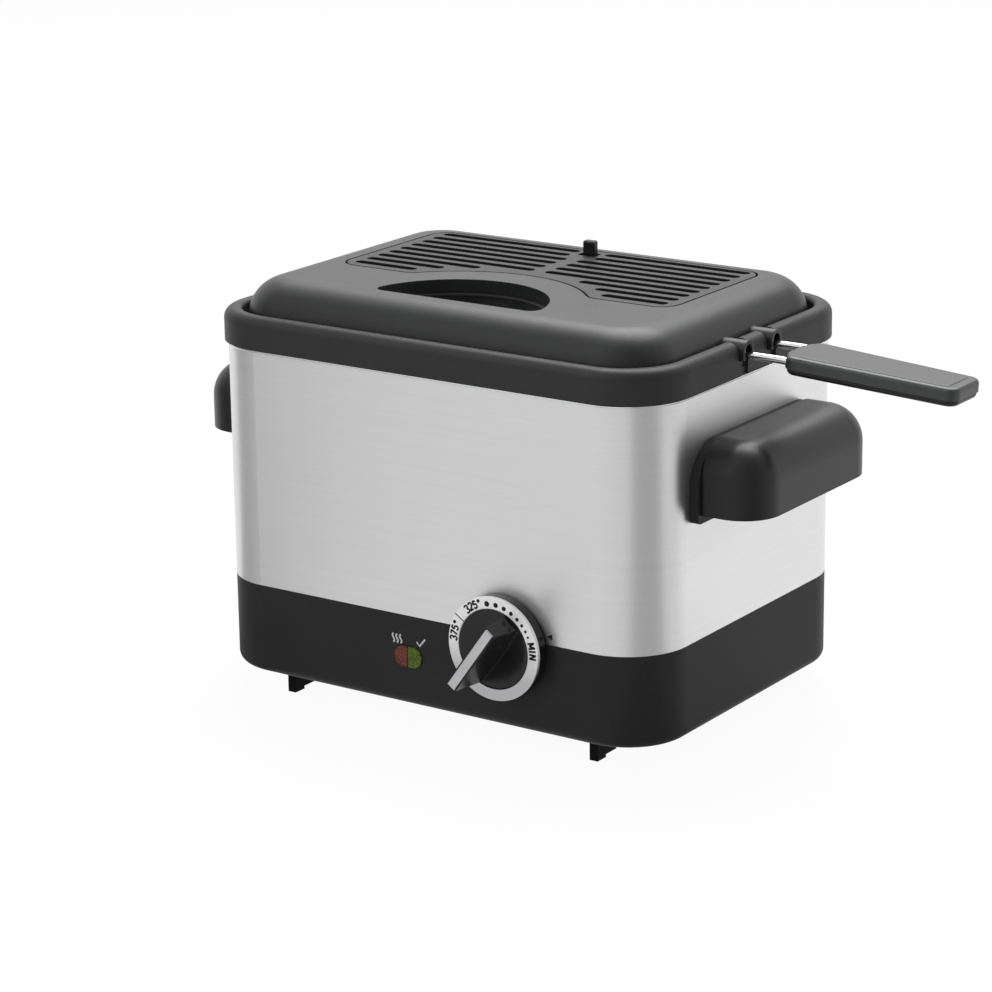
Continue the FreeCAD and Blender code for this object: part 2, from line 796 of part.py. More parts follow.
def make_housing_wrap():
    body = new_body("HousingWrap")
    wall = new_sketch(body, XY, "seam_z")
    centred(wall, "body_width", "body_depth", "corner_radius")
    inner = "steel_thickness"
    centred(wall, f"body_width - 2 * {inner}", f"body_depth - 2 * {inner}", f"corner_radius - {inner}")
    pad(body, wall, "steel_height + steel_insert")
    holes = new_sketch(body, YZ, "body_width / 2")
    for end in ("-", ""):
        circle(holes, f"{end}handle_screw_spacing / 2", "handle_screw_z", "handle_screw + 2 * fit_gap")
    pocket(body, holes, "body_width")
    keep(body, "housing_wrap")


def make_top_bezel():
    body = new_body("TopBezel")
    ring = new_sketch(body, XY, "steel_top_z")
    over = "bezel_overhang"
    centred(ring, f"body_width + 2 * {over}", f"body_depth + 2 * {over}", f"corner_radius + {over}")
    pad(body, ring, "bezel_height")
    fillet(body, at_level("bezel_top_z"), "bezel_lip_radius")
    seat = new_sketch(body, XY, "ledge_z")
    centred(seat, "lid_width + 2 * lid_gap", "lid_depth + 2 * lid_gap", "bezel_opening_radius")
    pocket(body, seat, "bezel_top_z - ledge_z", reverse=True)
    half_x = number("lid_width / 2 + lid_gap") + EDGE_MARGIN
    half_y = number("lid_depth / 2 + lid_gap") + EDGE_MARGIN
    top = at_level("bezel_top_z")
    fillet(body, lambda edge, middle: top(edge, middle) and abs(middle.x) < half_x and abs(middle.y) < half_y,
           "bezel_inner_radius")
    well = new_sketch(body, XY, "steel_top_z")
    room = "2 * bowl_wall + 2 * bowl_gap"
    centred(well, f"bowl_mouth_width + {room}", f"bowl_mouth_depth + {room}", "bowl_mouth_radius")
    pocket(body, well, "ledge_z - steel_top_z", reverse=True)
    groove = new_sketch(body, XY, "steel_top_z")
    centred(groove, "body_width + 2 * fit_gap", "body_depth + 2 * fit_gap", "corner_radius + fit_gap")
    inset = "(steel_thickness + fit_gap)"
    centred(groove, f"body_width - 2 * {inset}", f"body_depth - 2 * {inset}", f"corner_radius - {inset}")
    pocket(body, groove, "steel_insert", reverse=True)
    notch = new_sketch(body, YZ, "lid_width / 2")
    sill = "lid_rim_z - notch_gap"
    for end in ("-", ""):
        middle = f"{end}wire_spacing / 2"
        reach = "(guide_diameter / 2 + notch_gap)"
        rectangle(notch, f"{middle} - {reach}", f"{middle} + {reach}", sill, "bezel_top_z + bezel_lip_radius")
    pocket(body, notch, "body_width / 2", reverse=True)
    skin = new_sketch(body, YZ, "body_width / 2 + fit_gap")
    for end in ("-", ""):
        middle = f"{end}wire_spacing / 2"
        rectangle(skin, f"{middle} - guide_slot / 2", f"{middle} + guide_slot / 2", "steel_top_z", sill)
    pocket(body, skin, "body_width / 2", reverse=True)
    keep(body, "top_bezel")


def make_oil_bowl():
    body = new_body("OilBowl")
    lean = "atan(bowl_draft / bowl_height)"
    floor = new_sketch(body, XY, "bowl_floor_z")
    shrink = "(2 * bowl_draft - 2 * bowl_wall)"
    centred(floor, f"bowl_mouth_width - {shrink}", f"bowl_mouth_depth - {shrink}",
            "bowl_mouth_radius + bowl_wall - bowl_draft")
    pad(body, floor, "ledge_z - bowl_floor_z")
    draft(body, "bowl_floor_z", lean, reverse=True)
    rim = new_sketch(body, XY, "ledge_z")
    slack = "2 * (lid_gap - bowl_gap / 2)"
    centred(rim, f"lid_width + {slack}", f"lid_depth + {slack}", "bezel_opening_radius - bowl_gap / 2")
    pad(body, rim, "bowl_rim_thickness")
    inside = new_sketch(body, XY, "bowl_floor_z + bowl_wall")
    centred(inside, "bowl_mouth_width - 2 * bowl_draft", "bowl_mouth_depth - 2 * bowl_draft",
            "bowl_mouth_radius - bowl_draft")
    pocket(body, inside, "bowl_height - bowl_wall", reverse=True)
    draft(body, "bowl_floor_z + bowl_wall", lean)
    fillet(body, at_level("bowl_floor_z + bowl_wall"), "bowl_floor_radius")
    fillet(body, at_level("bowl_floor_z"), "bowl_floor_radius + bowl_wall")
    studs = new_sketch(body, XY, "bowl_floor_z")
    bores = new_sketch(body, XY, "stud_end_z")
    for side in ("-", ""):
        for end in ("-", ""):
            place = (f"{side}bolt_spacing_x / 2", f"{end}bolt_spacing_y / 2")
            circle(studs, *place, "stud_diameter")
            circle(bores, *place, "bolt_diameter + 2 * fit_gap")
    pad(body, studs, "stud_length", reverse=True)
    pocket(body, bores, "bolt_grip + fit_gap", reverse=True)
    keep(body, "oil_bowl")


# heater, shield and the bolts that clamp the stack

def make_heating_element():
    level = number("bowl_floor_z - element_diameter / 2")
    half_x, half_y = number("element_length / 2"), number("element_width / 2")
    run = [FreeCAD.Vector(x, y, level)
           for x, y in ((-half_x, -half_y), (half_x, -half_y), (half_x, half_y), (-half_x, half_y))]
    item = doc.addObject("Part::Feature", "HeatingElement")
    item.Shape = tube(run, number("element_corner"), number("element_diameter"))
    keep(item, "heating_element")


def make_heat_shield():
    body = new_body("HeatShield")
    sheet_metal = new_sketch(body, XY, "stud_end_z - shield_thickness")
    spans = ("bolt_spacing_x + 2 * shield_margin", "bolt_spacing_y + 2 * shield_margin")
    centred(sheet_metal, *spans, "shield_margin")
    pad(body, sheet_metal, "shield_thickness")
    rim = new_sketch(body, XY, "stud_end_z - shield_thickness")
    centred(rim, *spans, "shield_margin")
    inner = [f"{span} - 2 * shield_thickness" for span in spans]
    centred(rim, *inner, "shield_margin - shield_thickness")
    pad(body, rim, "shield_rim")
    holes = new_sketch(body, XY, "stud_end_z - shield_thickness")
    for side in ("-", ""):
        for end in ("-", ""):
            circle(holes, f"{side}bolt_spacing_x / 2", f"{end}bolt_spacing_y / 2", "bolt_diameter + 2 * fit_gap")
    pocket(body, holes, "shield_thickness", reverse=True)
    keep(body, "heat_shield")


def make_tie_bolts():
    bolt = make_screw("TieBolt", "bolt_diameter", "bolt_head", "bolt_head_height",
                      "stud_end_z - foot_height + bolt_grip")
    places = four_places("bolt_spacing_x", "bolt_spacing_y", "foot_height")
    keep(spread(bolt, "TieBolts", places), "tie_bolts")


# controls behind the front wall

def make_thermostat():
    bracket = new_body("ThermostatBracket")
    upright_plate = new_sketch(bracket, XZ, "-front_y - base_wall")
    side = "(thermostat_width / 2 + bracket_margin)"
    rectangle(upright_plate, f"dial_x - {side}", f"dial_x + {side}", "floor_z",
              "dial_z + thermostat_height / 2")
    circle(upright_plate, "dial_x", "dial_z", "shaft_diameter + 4 * fit_gap")
    pad(bracket, upright_plate, "bracket_thickness", reverse=True)
    foot = new_sketch(bracket, XY, "floor_z")
    rectangle(foot, f"dial_x - {side}", f"dial_x + {side}", "front_y + base_wall",
              "front_y + base_wall + thermostat_depth")
    pad(bracket, foot, "bracket_thickness")
    keep(bracket, "thermostat_bracket")

    box = new_body("ThermostatBody")
    case = new_sketch(box, XZ, "-front_y - base_wall - bracket_thickness")
    rectangle(case, "dial_x - thermostat_width / 2", "dial_x + thermostat_width / 2",
              "dial_z - thermostat_height / 2", "dial_z + thermostat_height / 2", "thermostat_corner")
    pad(box, case, "thermostat_depth", reverse=True)
    tabs = new_sketch(box, XZ, "-front_y - base_wall - bracket_thickness - thermostat_depth")
    for end in ("-", "+"):
        centre = f"dial_x {end} thermostat_width / 4"
        rectangle(tabs, f"{centre} - tab_width / 2", f"{centre} + tab_width / 2",
                  "dial_z - tab_thickness / 2", "dial_z + tab_thickness / 2")
    pad(box, tabs, "tab_length", reverse=True)
    bore = new_sketch(box, XZ, "-front_y - base_wall - bracket_thickness")
    circle(bore, "dial_x", "dial_z", "shaft_diameter + 2 * run_gap")
    pocket(box, bore, "shaft_entry + fit_gap")
    keep(box, "thermostat_body")


def make_thermal_cutoff():
    body = new_body("ThermalCutoff")
    cap = new_sketch(body, XY, "bowl_floor_z")
    circle(cap, "0", "0", "cutoff_diameter")
    pad(body, cap, "cutoff_height", reverse=True)
    fillet(body, at_level("bowl_floor_z - cutoff_height"), "cutoff_height / 5")
    keep(body, "thermal_cutoff")


def make_lens(name, label, keeps_left):
    body = new_body(name)
    oval = new_sketch(body, XZ, "-front_y + lens_proud")
    slot(oval, "lamp_x - lens_width / 2", "lamp_x + lens_width / 2", "lamp_z", "lens_height")
    pad(body, oval, "lens_depth", reverse=True)
    fillet(body, at_depth("front_y - lens_proud"), "lens_proud / 2")
    half = new_sketch(body, XZ, "-front_y + lens_proud")
    if keeps_left:
        rectangle(half, "lamp_x - lens_split / 2", "lamp_x + lens_width", "lamp_z - lens_height",
                  "lamp_z + lens_height")
    else:
        rectangle(half, "lamp_x - lens_width", "lamp_x + lens_split / 2", "lamp_z - lens_height",
                  "lamp_z + lens_height")
    pocket(body, half, "lens_depth")
    keep(body, label)


def make_lamps():
    holder = new_body("LampHolder")
    block = new_sketch(holder, XZ, "-front_y - base_wall")
    reach_x = "(lens_width / 2 + fit_gap + holder_wall)"
    reach_z = "(lens_height / 2 + fit_gap + holder_wall)"
    rectangle(block, f"lamp_x - {reach_x}", f"lamp_x + {reach_x}", f"lamp_z - {reach_z}", f"lamp_z + {reach_z}",
              "holder_wall")
    inside = "lens_depth - lens_proud - base_wall"
    pad(holder, block, f"{inside} + lamp_length + holder_wall", reverse=True)
    cavity = new_sketch(holder, XZ, "-front_y - base_wall")
    slot(cavity, "lamp_x - lens_width / 2 - fit_gap", "lamp_x + lens_width / 2 + fit_gap", "lamp_z",
         "lens_height + 2 * fit_gap")
    pocket(holder, cavity, f"{inside} + lamp_length")
    keep(holder, "lamp_holder")

    lamp = new_body("SignalLamp")
    bulb = new_sketch(lamp, XZ, "-front_y - lens_depth + lens_proud - seat_gap")
    circle(bulb, "lamp_x - lens_width / 4", "lamp_z", "lamp_diameter")
    pad(lamp, bulb, "lamp_length - seat_gap", reverse=True)
    shift = FreeCAD.Vector(number("lens_width / 2"), 0, 0)
    places = [FreeCAD.Placement(), FreeCAD.Placement(shift, FreeCAD.Rotation())]
    keep(spread(lamp, "SignalLamps", places), "signal_lamps")


# supply inlet in the back wall

def make_inlet():
    body = new_body("InletSocket")
    shell = new_sketch(body, XZ, "front_y")
    rectangle(shell, *inlet_box("0"), "inlet_corner")
    pad(body, shell, "inlet_depth")
    collar = new_sketch(body, XZ, "front_y")
    rectangle(collar, *inlet_box("inlet_flange"), "inlet_corner + inlet_flange")
    pad(body, collar, "inlet_flange_thickness", reverse=True)
    cavity = new_sketch(body, XZ, "front_y - inlet_flange_thickness")
    rectangle(cavity, *inlet_box("-inlet_wall"), "inlet_corner - inlet_wall")
    pocket(body, cavity, "inlet_depth + inlet_flange_thickness - inlet_wall", reverse=True)
    keep(body, "inlet_socket")

    pins = []
    for end in ("-", "+"):
        pin = new_body("InletPin")
        face = new_sketch(pin, XZ, "front_y + inlet_depth - inlet_wall")
        circle(face, f"inlet_x {end} pin_spacing / 2", "inlet_z", "pin_diameter")
        pad(pin, face, "pin_length", reverse=True)
        tip = number("-front_y - inlet_depth + inlet_wall + pin_length")
        fillet(pin, lambda edge, middle: abs(edge.BoundBox.YMin - tip) < EDGE_MARGIN, "pin_diameter / 5")
        pins.append(pin.Shape)
    keep(gathered("InletPins", pins), "inlet_pins")


def inlet_box(margin):
    """Left, right, bottom and top of the inlet, grown by a margin."""
    half_x, half_z = f"(inlet_width / 2 + {margin})", f"(inlet_height / 2 + {margin})"
    return f"inlet_x - {half_x}", f"inlet_x + {half_x}", f"inlet_z - {half_z}", f"inlet_z + {half_z}"


# side handles

def make_handles():
    plate = new_body("HandlePlate")
    face = new_sketch(plate, YZ, "body_width / 2")
    half, crest = "(handle_length / 2 + flange_side)", "handle_bottom + handle_height - flange_set"
    outline(face, [
        (f"-{half}", "handle_bottom - flange_drop", "flange_foot_radius"),
        (half, "handle_bottom - flange_drop", "flange_foot_radius"),
        (half, crest, "flange_round"),
        (f"-{half}", crest, "flange_round"),
    ])
    for end in ("-", ""):
        circle(face, f"{end}handle_screw_spacing / 2", "handle_screw_z", "handle_screw + 2 * fit_gap")
    pad(plate, face, "flange_thickness")
    keep(plate, "handle_plate_right")
    keep(mirrored(plate, "HandlePlateLeft"), "handle_plate_left")

    hood = new_body("HandleHood")
    root, reach = "body_width / 2 + flange_thickness", "body_width / 2 + handle_reach"
    plan = new_sketch(hood, XY, "handle_bottom")
    half = "handle_length / 2"
    outline(plan, [(root, f"-{half}"), (reach, f"-{half}", "handle_corner"), (reach, half, "handle_corner"),
                   (root, half)])
    pad(hood, plan, "handle_height")
    cavity = new_sketch(hood, XY, "handle_bottom")
    back = f"{root} + handle_back_wall"
    front = f"{reach} - handle_wall"
    inner = "(handle_length / 2 - handle_wall)"
    outline(cavity, [(back, f"-{inner}"), (front, f"-{inner}", "handle_corner - handle_wall"),
                     (front, inner, "handle_corner - handle_wall"), (back, inner)])
    pocket(hood, cavity, "handle_height - handle_wall", reverse=True)
    back_x = number(back) + EDGE_MARGIN
    ceiling = at_level("handle_bottom + handle_height - handle_wall")
    fillet(hood, lambda edge, middle: ceiling(edge, middle) and middle.x > back_x, "handle_round - handle_wall")
    wall_x = number(root) + EDGE_MARGIN
    crown = at_level("handle_bottom + handle_height")
    fillet(hood, lambda edge, middle: crown(edge, middle) and middle.x > wall_x, "handle_round")
    bores = new_sketch(hood, YZ, root)
    for end in ("-", ""):
        circle(bores, f"{end}handle_screw_spacing / 2", "handle_screw_z", "handle_screw + 2 * fit_gap")
    pocket(hood, bores, "handle_screw_bite + fit_gap", reverse=True)
    keep(hood, "handle_right")
    keep(mirrored(hood, "HandleHoodLeft"), "handle_left")

    screw = make_screw("HandleScrew", "handle_screw", "handle_screw_head", "handle_screw_head_height",
                       "steel_thickness + flange_thickness + handle_screw_bite")
    wall, half_y = number("body_width / 2 - steel_thickness"), number("handle_screw_spacing / 2")
    level = number("handle_screw_z")
    places = []
    for side in (-1, 1):
        outward = FreeCAD.Rotation(UP, FreeCAD.Vector(side, 0, 0))
        for end in (-1, 1):
            places.append(FreeCAD.Placement(FreeCAD.Vector(side * wall, end * half_y, level), outward))
    keep(spread(screw, "HandleScrews", places), "handle_screws")


# dial, modelled about +Z and turned to face the front

def face_front(body):
    body.Placement = FreeCAD.Placement(FreeCAD.Vector(), FreeCAD.Rotation(FreeCAD.Vector(1, 0, 0), 90))
    bind(body, "Placement.Base.x", "dial_x")
    bind(body, "Placement.Base.y", "front_y")
    bind(body, "Placement.Base.z", "dial_z")
    doc.recompute()


def turned_rectangle(item, length, width):
    """A rectangle about the dial's axis, turned to the bar's angle."""
    along, across = "cos(grip_bar_angle)", "sin(grip_bar_angle)"
    corners = []
    for a, b in (("-", "-"), ("", "-"), ("", ""), ("-", "")):
        u, v = f"{a}({length}) / 2", f"{b}({width}) / 2"
        corners.append((f"{u} * {along} - ({v}) * {across}", f"{u} * {across} + ({v}) * {along}"))
    outline(item, corners)


def make_dial():
    knob = new_body("KnobBody")
    disc = new_sketch(knob, XZ)
    hub = "(dial_diameter / 2 - dial_band - fit_gap)"
    edge = "(dial_diameter / 2 - dial_ring_overhang)"
    front = "(dial_gap + dial_thickness)"
    outline(disc, [
        ("0", "dial_gap"),
        (edge, "dial_gap"),
        (edge, f"{front} - dial_ring_thickness"),
        (hub, f"{front} - dial_ring_thickness"),
        (hub, f"{front} - dial_ring_thickness / 4"),
        (f"{hub} - dial_ring_thickness", f"{front} - dial_ring_thickness / 4"),
        ("grip_bar_width / 2", f"{front} - dial_dish"),
        ("0", f"{front} - dial_dish"),
    ])
    revolve(knob, disc)
    foot = new_sketch(knob, XY, f"{front} - 2 * dial_dish")
    turned_rectangle(foot, "grip_bar_length", "grip_bar_width")
    crest = new_sketch(knob, XY, f"{front} + grip_bar_height")
    turned_rectangle(crest, "grip_bar_top_length", "grip_bar_top_width")
    loft(knob, "PartDesign::AdditiveLoft", foot, crest)
    channel = new_sketch(knob, XY, f"{front} + grip_bar_height")
    turned_rectangle(channel, "2 * grip_bar_top_length", "strip_width + 2 * fit_gap")
    pocket(knob, channel, "strip_sink")
    bore = new_sketch(knob, XY, "dial_gap")
    circle(bore, "0", "0", "shaft_diameter + 2 * fit_gap")
    pocket(knob, bore, "shaft_socket + fit_gap", reverse=True)
    face_front(knob)
    keep(knob, "knob_body")

    ring = new_body("DialRing")
    band = new_sketch(ring, XY, f"{front} - dial_ring_thickness")
    circle(band, "0", "0", "dial_diameter")
    circle(band, "0", "0", "dial_diameter - 2 * dial_band")
    pad(ring, band, "dial_ring_thickness")
    fillet(ring, at_level(front), "dial_ring_thickness / 4")
    face_front(ring)
    keep(ring, "dial_ring")

    strip = new_body("KnobStrip")
    bar = new_sketch(strip, XY, f"{front} + grip_bar_height - strip_sink")
    turned_rectangle(bar, "grip_bar_top_length", "strip_width")
    pad(strip, bar, "strip_thickness")
    face_front(strip)
    keep(strip, "knob_strip")

    shaft = new_body("ThermostatShaft")
    rod = new_sketch(shaft, XY, "-base_wall - bracket_thickness - shaft_entry")
    circle(rod, "0", "0", "shaft_diameter")
    pad(shaft, rod, "base_wall + bracket_thickness + shaft_entry + dial_gap + shaft_socket")
    face_front(shaft)
    keep(shaft, "thermostat_shaft")


# lid with the viewing window, the wire guides and the filter opening

def cover_box(margin):
    """Left, right, front and back of the filter cover, grown by a margin."""
    half = f"(cover_width / 2 + {margin})"
    return f"-{half}", half, f"-(cover_front + {margin})", f"cover_back + {margin}"


def near(x, y, reach=1.0):
    """A test for upright edges at a mirrored pair of places."""
    return lambda edge, middle: (upright(edge, middle) and abs(abs(middle.x) - x) < reach
                                 and abs(middle.y - y) < reach)


def arch_meets(radius, level):
    """Where a circle about the arch centre crosses a line of constant Y."""
    drop = number(level) + number("arch_centre")
    return math.sqrt(number(radius) ** 2 - drop ** 2), number(level)


def make_lid_shell():
    body = new_body("LidShell")
    plan = new_sketch(body, XY, "lid_rim_z")
    centred(plan, "lid_width", "lid_depth", "lid_corner")
    pad(body, plan, "lid_height")
    hollow = new_sketch(body, XY, "lid_rim_z")
    centred(hollow, "lid_width - 2 * lid_wall", "lid_depth - 2 * lid_wall", "lid_corner - lid_wall")
    pocket(body, hollow, "lid_height - lid_wall", reverse=True)
    fillet(body, at_level("lid_ceiling_z"), "lid_round - lid_wall")
    fillet(body, at_level("lid_top_z"), "lid_round")
    guides = new_sketch(body, YZ, "lid_width / 2 - lid_wall")
    for end in ("-", ""):
        arch(guides, f"{end}wire_spacing / 2", "guide_diameter", "lid_rim_z", "guide_z")
    pad(body, guides, "lid_wall + lid_gap + bezel_wall + guide_reach")
    wires = new_sketch(body, YZ, "lid_width / 2 - lid_round")
    for end in ("-", ""):
        arch(wires, f"{end}wire_spacing / 2", "guide_slot", "lid_rim_z - guide_slot", "guide_z")
    pocket(body, wires, "lid_width / 2", reverse=True)

    opening = new_sketch(body, XY, "lid_ceiling_z")
    rectangle(opening, *cover_box("cover_groove"), "cover_corner + cover_groove")
    pocket(body, opening, "lid_wall", reverse=True)
    tongue = new_sketch(body, XY, "lid_ceiling_z")
    half_moon(tongue, "cover_arch_radius - cover_groove", "cover_front + cover_groove + lid_wall")
    pad(body, tongue, "lid_wall")
    corner = arch_meets("cover_arch_radius - cover_groove", "-cover_front - cover_groove")
    fillet(body, near(*corner), "cover_arch_corner + cover_groove")

    collar = new_sketch(body, XY, "lid_ceiling_z")
    rounded_moon(collar, "window_radius + window_collar", "window_front + window_collar",
                 "window_corner + window_collar")
    pad(body, collar, "window_depth - lid_wall", reverse=True)
    bosses = new_sketch(body, XY, "lid_ceiling_z")
    retainer_circles(bosses, "retainer_boss")
    pad(body, bosses, "lid_ceiling_z - glass_bottom_z", reverse=True)
    window = new_sketch(body, XY, "lid_top_z")
    rounded_moon(window, "window_radius", "window_front", "window_corner")
    pocket(body, window, "window_depth")
    bores = new_sketch(body, XY, "glass_bottom_z")
    retainer_circles(bores, "retainer_screw + 2 * fit_gap")
    pocket(body, bores, "retainer_bite + fit_gap", reverse=True)
    keep(body, "lid_shell")


def retainer_circles(item, diameter):
    """Three circles round the window's arch."""
    for angle in ("retainer_screw_angle", "90", "180 - retainer_screw_angle"):
        circle(item, f"retainer_screw_circle * cos({angle})",
               f"retainer_screw_circle * sin({angle}) - arch_centre", diameter)


def make_window():
    edge = ("window_front + window_collar", "window_corner + window_collar")
    sight = ("window_radius - gasket_lip", "window_front - gasket_lip", "window_corner - gasket_lip")
    gasket = new_body("WindowGasket")
    ring = new_sketch(gasket, XY, "glass_top_z")
    rounded_moon(ring, "window_radius + glass_overlap", *edge)
    rounded_moon(ring, *sight)
    pad(gasket, ring, "gasket_thickness")
    keep(gasket, "window_gasket")

    glass = new_body("WindowGlass")
    pane = new_sketch(glass, XY, "glass_bottom_z")
    rounded_moon(pane, "window_radius + glass_overlap", *edge)
    pad(glass, pane, "glass_thickness")
    keep(glass, "window_glass")

    retainer = new_body("WindowRetainer")
    frame = new_sketch(retainer, XY, "glass_bottom_z")
    rounded_moon(frame, "window_radius + retainer_width", *edge)
    rounded_moon(frame, *sight)
    retainer_circles(frame, "retainer_screw + 2 * fit_gap")
    pad(retainer, frame, "retainer_thickness", reverse=True)
    keep(retainer, "window_retainer")

    screw = make_screw("RetainerScrew", "retainer_screw", "retainer_screw_head", "retainer_screw_head_height",
                       "retainer_thickness + retainer_bite")
    reach, level = number("retainer_screw_circle"), number("glass_bottom_z - retainer_thickness")
    places = []
    for text in ("retainer_screw_angle", "90", "180 - retainer_screw_angle"):
        angle = math.radians(number(text))
        spot = FreeCAD.Vector(reach * math.cos(angle), reach * math.sin(angle) - number("arch_centre"), level)
        places.append(FreeCAD.Placement(spot, FreeCAD.Rotation()))
    keep(spread(screw, "RetainerScrews", places), "retainer_screws")


# filter tray, pad, cover and the cover's latch

def make_filter_tray():
    body = new_body("FilterTray")
    flange = new_sketch(body, XY, "lid_ceiling_z - tray_wall")
    rectangle(flange, *cover_box("cover_groove + tray_flange"), "cover_corner + cover_groove + tray_flange")
    pad(body, flange, "tray_wall")
    box = new_sketch(body, XY, "tray_floor_z")
    rectangle(box, *cover_box("-tray_shelf"), "cover_corner")
    pad(body, box, "tray_depth")
    cavity = new_sketch(body, XY, "tray_floor_z + tray_wall")
    rectangle(cavity, *cover_box("-tray_shelf - tray_wall"), "cover_corner - tray_wall")
    pocket(body, cavity, "tray_depth", reverse=True)
    arch_wall = new_sketch(body, XY, "tray_floor_z")
    half_moon(arch_wall, "cover_arch_radius + tray_shelf + tray_wall", "cover_front - tray_shelf")
    pad(body, arch_wall, "tray_depth")
    under = new_sketch(body, XY, "tray_floor_z")
    circle(under, "0", "-arch_centre", "2 * (cover_arch_radius + tray_shelf)")
    pocket(body, under, "tray_depth - tray_wall", reverse=True)
    notch = new_sketch(body, XY, "lid_ceiling_z - tray_wall")
    circle(notch, "0", "-arch_centre", "2 * (cover_arch_radius - cover_groove - tray_flange)")
    pocket(body, notch, "tray_wall", reverse=True)
    vents = new_sketch(body, XY, "tray_floor_z")
    for i in range(int(number("tray_vent_rows"))):
        level = f"cover_back - tray_shelf - ({i} + 1) * tray_vent_pitch"
        for side in (-1, 1):
            ends = [f"{side} * slot_bar", f"{side} * (cover_width / 2 - tray_shelf - 2 * cover_corner)"]
            slot(vents, *(ends if side > 0 else ends[::-1]), level, "tray_vent")
    pocket(body, vents, "tray_wall", reverse=True)
    tabs = new_sketch(body, XY, "lid_ceiling_z")
    for end in ("-", ""):
        centre, half = f"{end}hinge_tab_x", "(hinge_tab_width / 2 + 2 * seat_gap)"
        rectangle(tabs, f"{centre} - {half}", f"{centre} + {half}",
                  "-cover_front - hinge_tab_length - 2 * seat_gap", "-cover_front + hinge_tab_sweep")
    pocket(body, tabs, "hinge_tab_drop")
    keep(body, "filter_tray")


def make_filter_pad():
    body = new_body("FilterPad")
    plan = new_sketch(body, XY, "tray_floor_z + tray_wall + seat_gap")
    inset = "-tray_shelf - tray_wall - pad_margin"
    rectangle(plan, *cover_box(inset)[:2], "hinge_tab_sweep + pad_margin - cover_front", cover_box(inset)[3],
              "cover_corner - tray_wall")
    pad(body, plan, "pad_thickness")
    notch = new_sketch(body, XY, "tray_floor_z + tray_wall + seat_gap")
    circle(notch, "0", "-arch_centre", "2 * (cover_arch_radius + tray_shelf + tray_wall + pad_margin)")
    pocket(body, notch, "pad_thickness", reverse=True)
    keep(body, "filter_pad")


def slot_start(row):
    """Inner end of a row of slots: the middle bar, the window's arch or the latch, whichever reaches furthest."""
    level = f"(cover_back - slot_back - {row} * slot_pitch)"
    lower_edge = f"({level} - slot_width / 2 + arch_centre)"
    bar = "slot_bar / 2"
    across = f"pow(cover_arch_radius + slot_border; 2) - pow({lower_edge}; 2)"
    inner = f"max({bar}; sqrt(max(0; {across})))"
    if abs(number(level) - number("latch_y")) < number("slot_pitch"):
        inner = f"max({inner}; latch_width / 2 + latch_side_gap + slot_border / 2)"
    return inner, level


def make_filter_cover():
    body = new_body("FilterCover")
    plan = new_sketch(body, XY, "lid_ceiling_z")
    rectangle(plan, *cover_box("0"), "cover_corner")
    pad(body, plan, "lid_wall")
    notch = new_sketch(body, XY, "lid_ceiling_z")
    circle(notch, "0", "-arch_centre", "2 * cover_arch_radius")
    pocket(body, notch, "lid_wall", reverse=True)
    fillet(body, near(*arch_meets("cover_arch_radius", "-cover_front")), "cover_arch_corner")
    tabs = new_sketch(body, XY, "lid_ceiling_z - seat_gap")
    stems = new_sketch(body, XY, "lid_ceiling_z")
    for end in ("-", ""):
        left, right = f"{end}hinge_tab_x - hinge_tab_width / 2", f"{end}hinge_tab_x + hinge_tab_width / 2"
        rectangle(stems, left, right, "-cover_front + seat_gap", "-cover_front + hinge_tab_thickness + seat_gap")
        rectangle(tabs, left, right, "-cover_front - hinge_tab_length",
                  "-cover_front + hinge_tab_thickness + seat_gap")
    pad(body, stems, "seat_gap + hinge_tab_thickness", reverse=True)
    pad(body, tabs, "hinge_tab_thickness", reverse=True)
    slots = new_sketch(body, XY, "lid_ceiling_z")
    outer = "cover_width / 2 - slot_border"
    for row in range(int(number("slot_rows"))):
        inner, level = slot_start(row)
        slot(slots, inner, outer, level, "slot_width")
        slot(slots, f"-({outer})", f"-({inner})", level, "slot_width")
    pocket(body, slots, "lid_wall", reverse=True)
    gate = new_sketch(body, XY, "lid_ceiling_z")
    half = "(latch_width / 2 + latch_side_gap)"
    rectangle(gate, f"-{half}", half, "latch_y - latch_length / 2 - latch_travel - seat_gap",
              "latch_y + latch_length / 2 + seat_gap", "latch_corner")
    pocket(body, gate, "lid_wall", reverse=True)
    keep(body, "filter_cover")


def make_cover_latch():
    body = new_body("CoverLatch")
    foot = new_sketch(body, XY, "lid_ceiling_z - seat_gap")
    half = "(latch_width / 2 + 2 * latch_side_gap)"
    front, back = "latch_y - latch_length / 2 - latch_foot_reach", "latch_y + latch_length / 4"
    rectangle(foot, f"-{half}", half, front, back)
    pad(body, foot, "latch_foot", reverse=True)
    neck = new_sketch(body, XY, "lid_ceiling_z - seat_gap")
    rectangle(neck, "-latch_width / 2", "latch_width / 2", "latch_y - latch_length / 2", back)
    pad(body, neck, "seat_gap")
    stem = new_sketch(body, XY, "lid_ceiling_z")
    rectangle(stem, "-latch_width / 2", "latch_width / 2", "latch_y - latch_length / 2",
              "latch_y + latch_length / 2", "latch_corner")
    pad(body, stem, "lid_wall + latch_rise")
    fillet(body, at_level("lid_top_z + latch_rise"), "latch_corner")
    keep(body, "cover_latch")


# frying basket and its handle

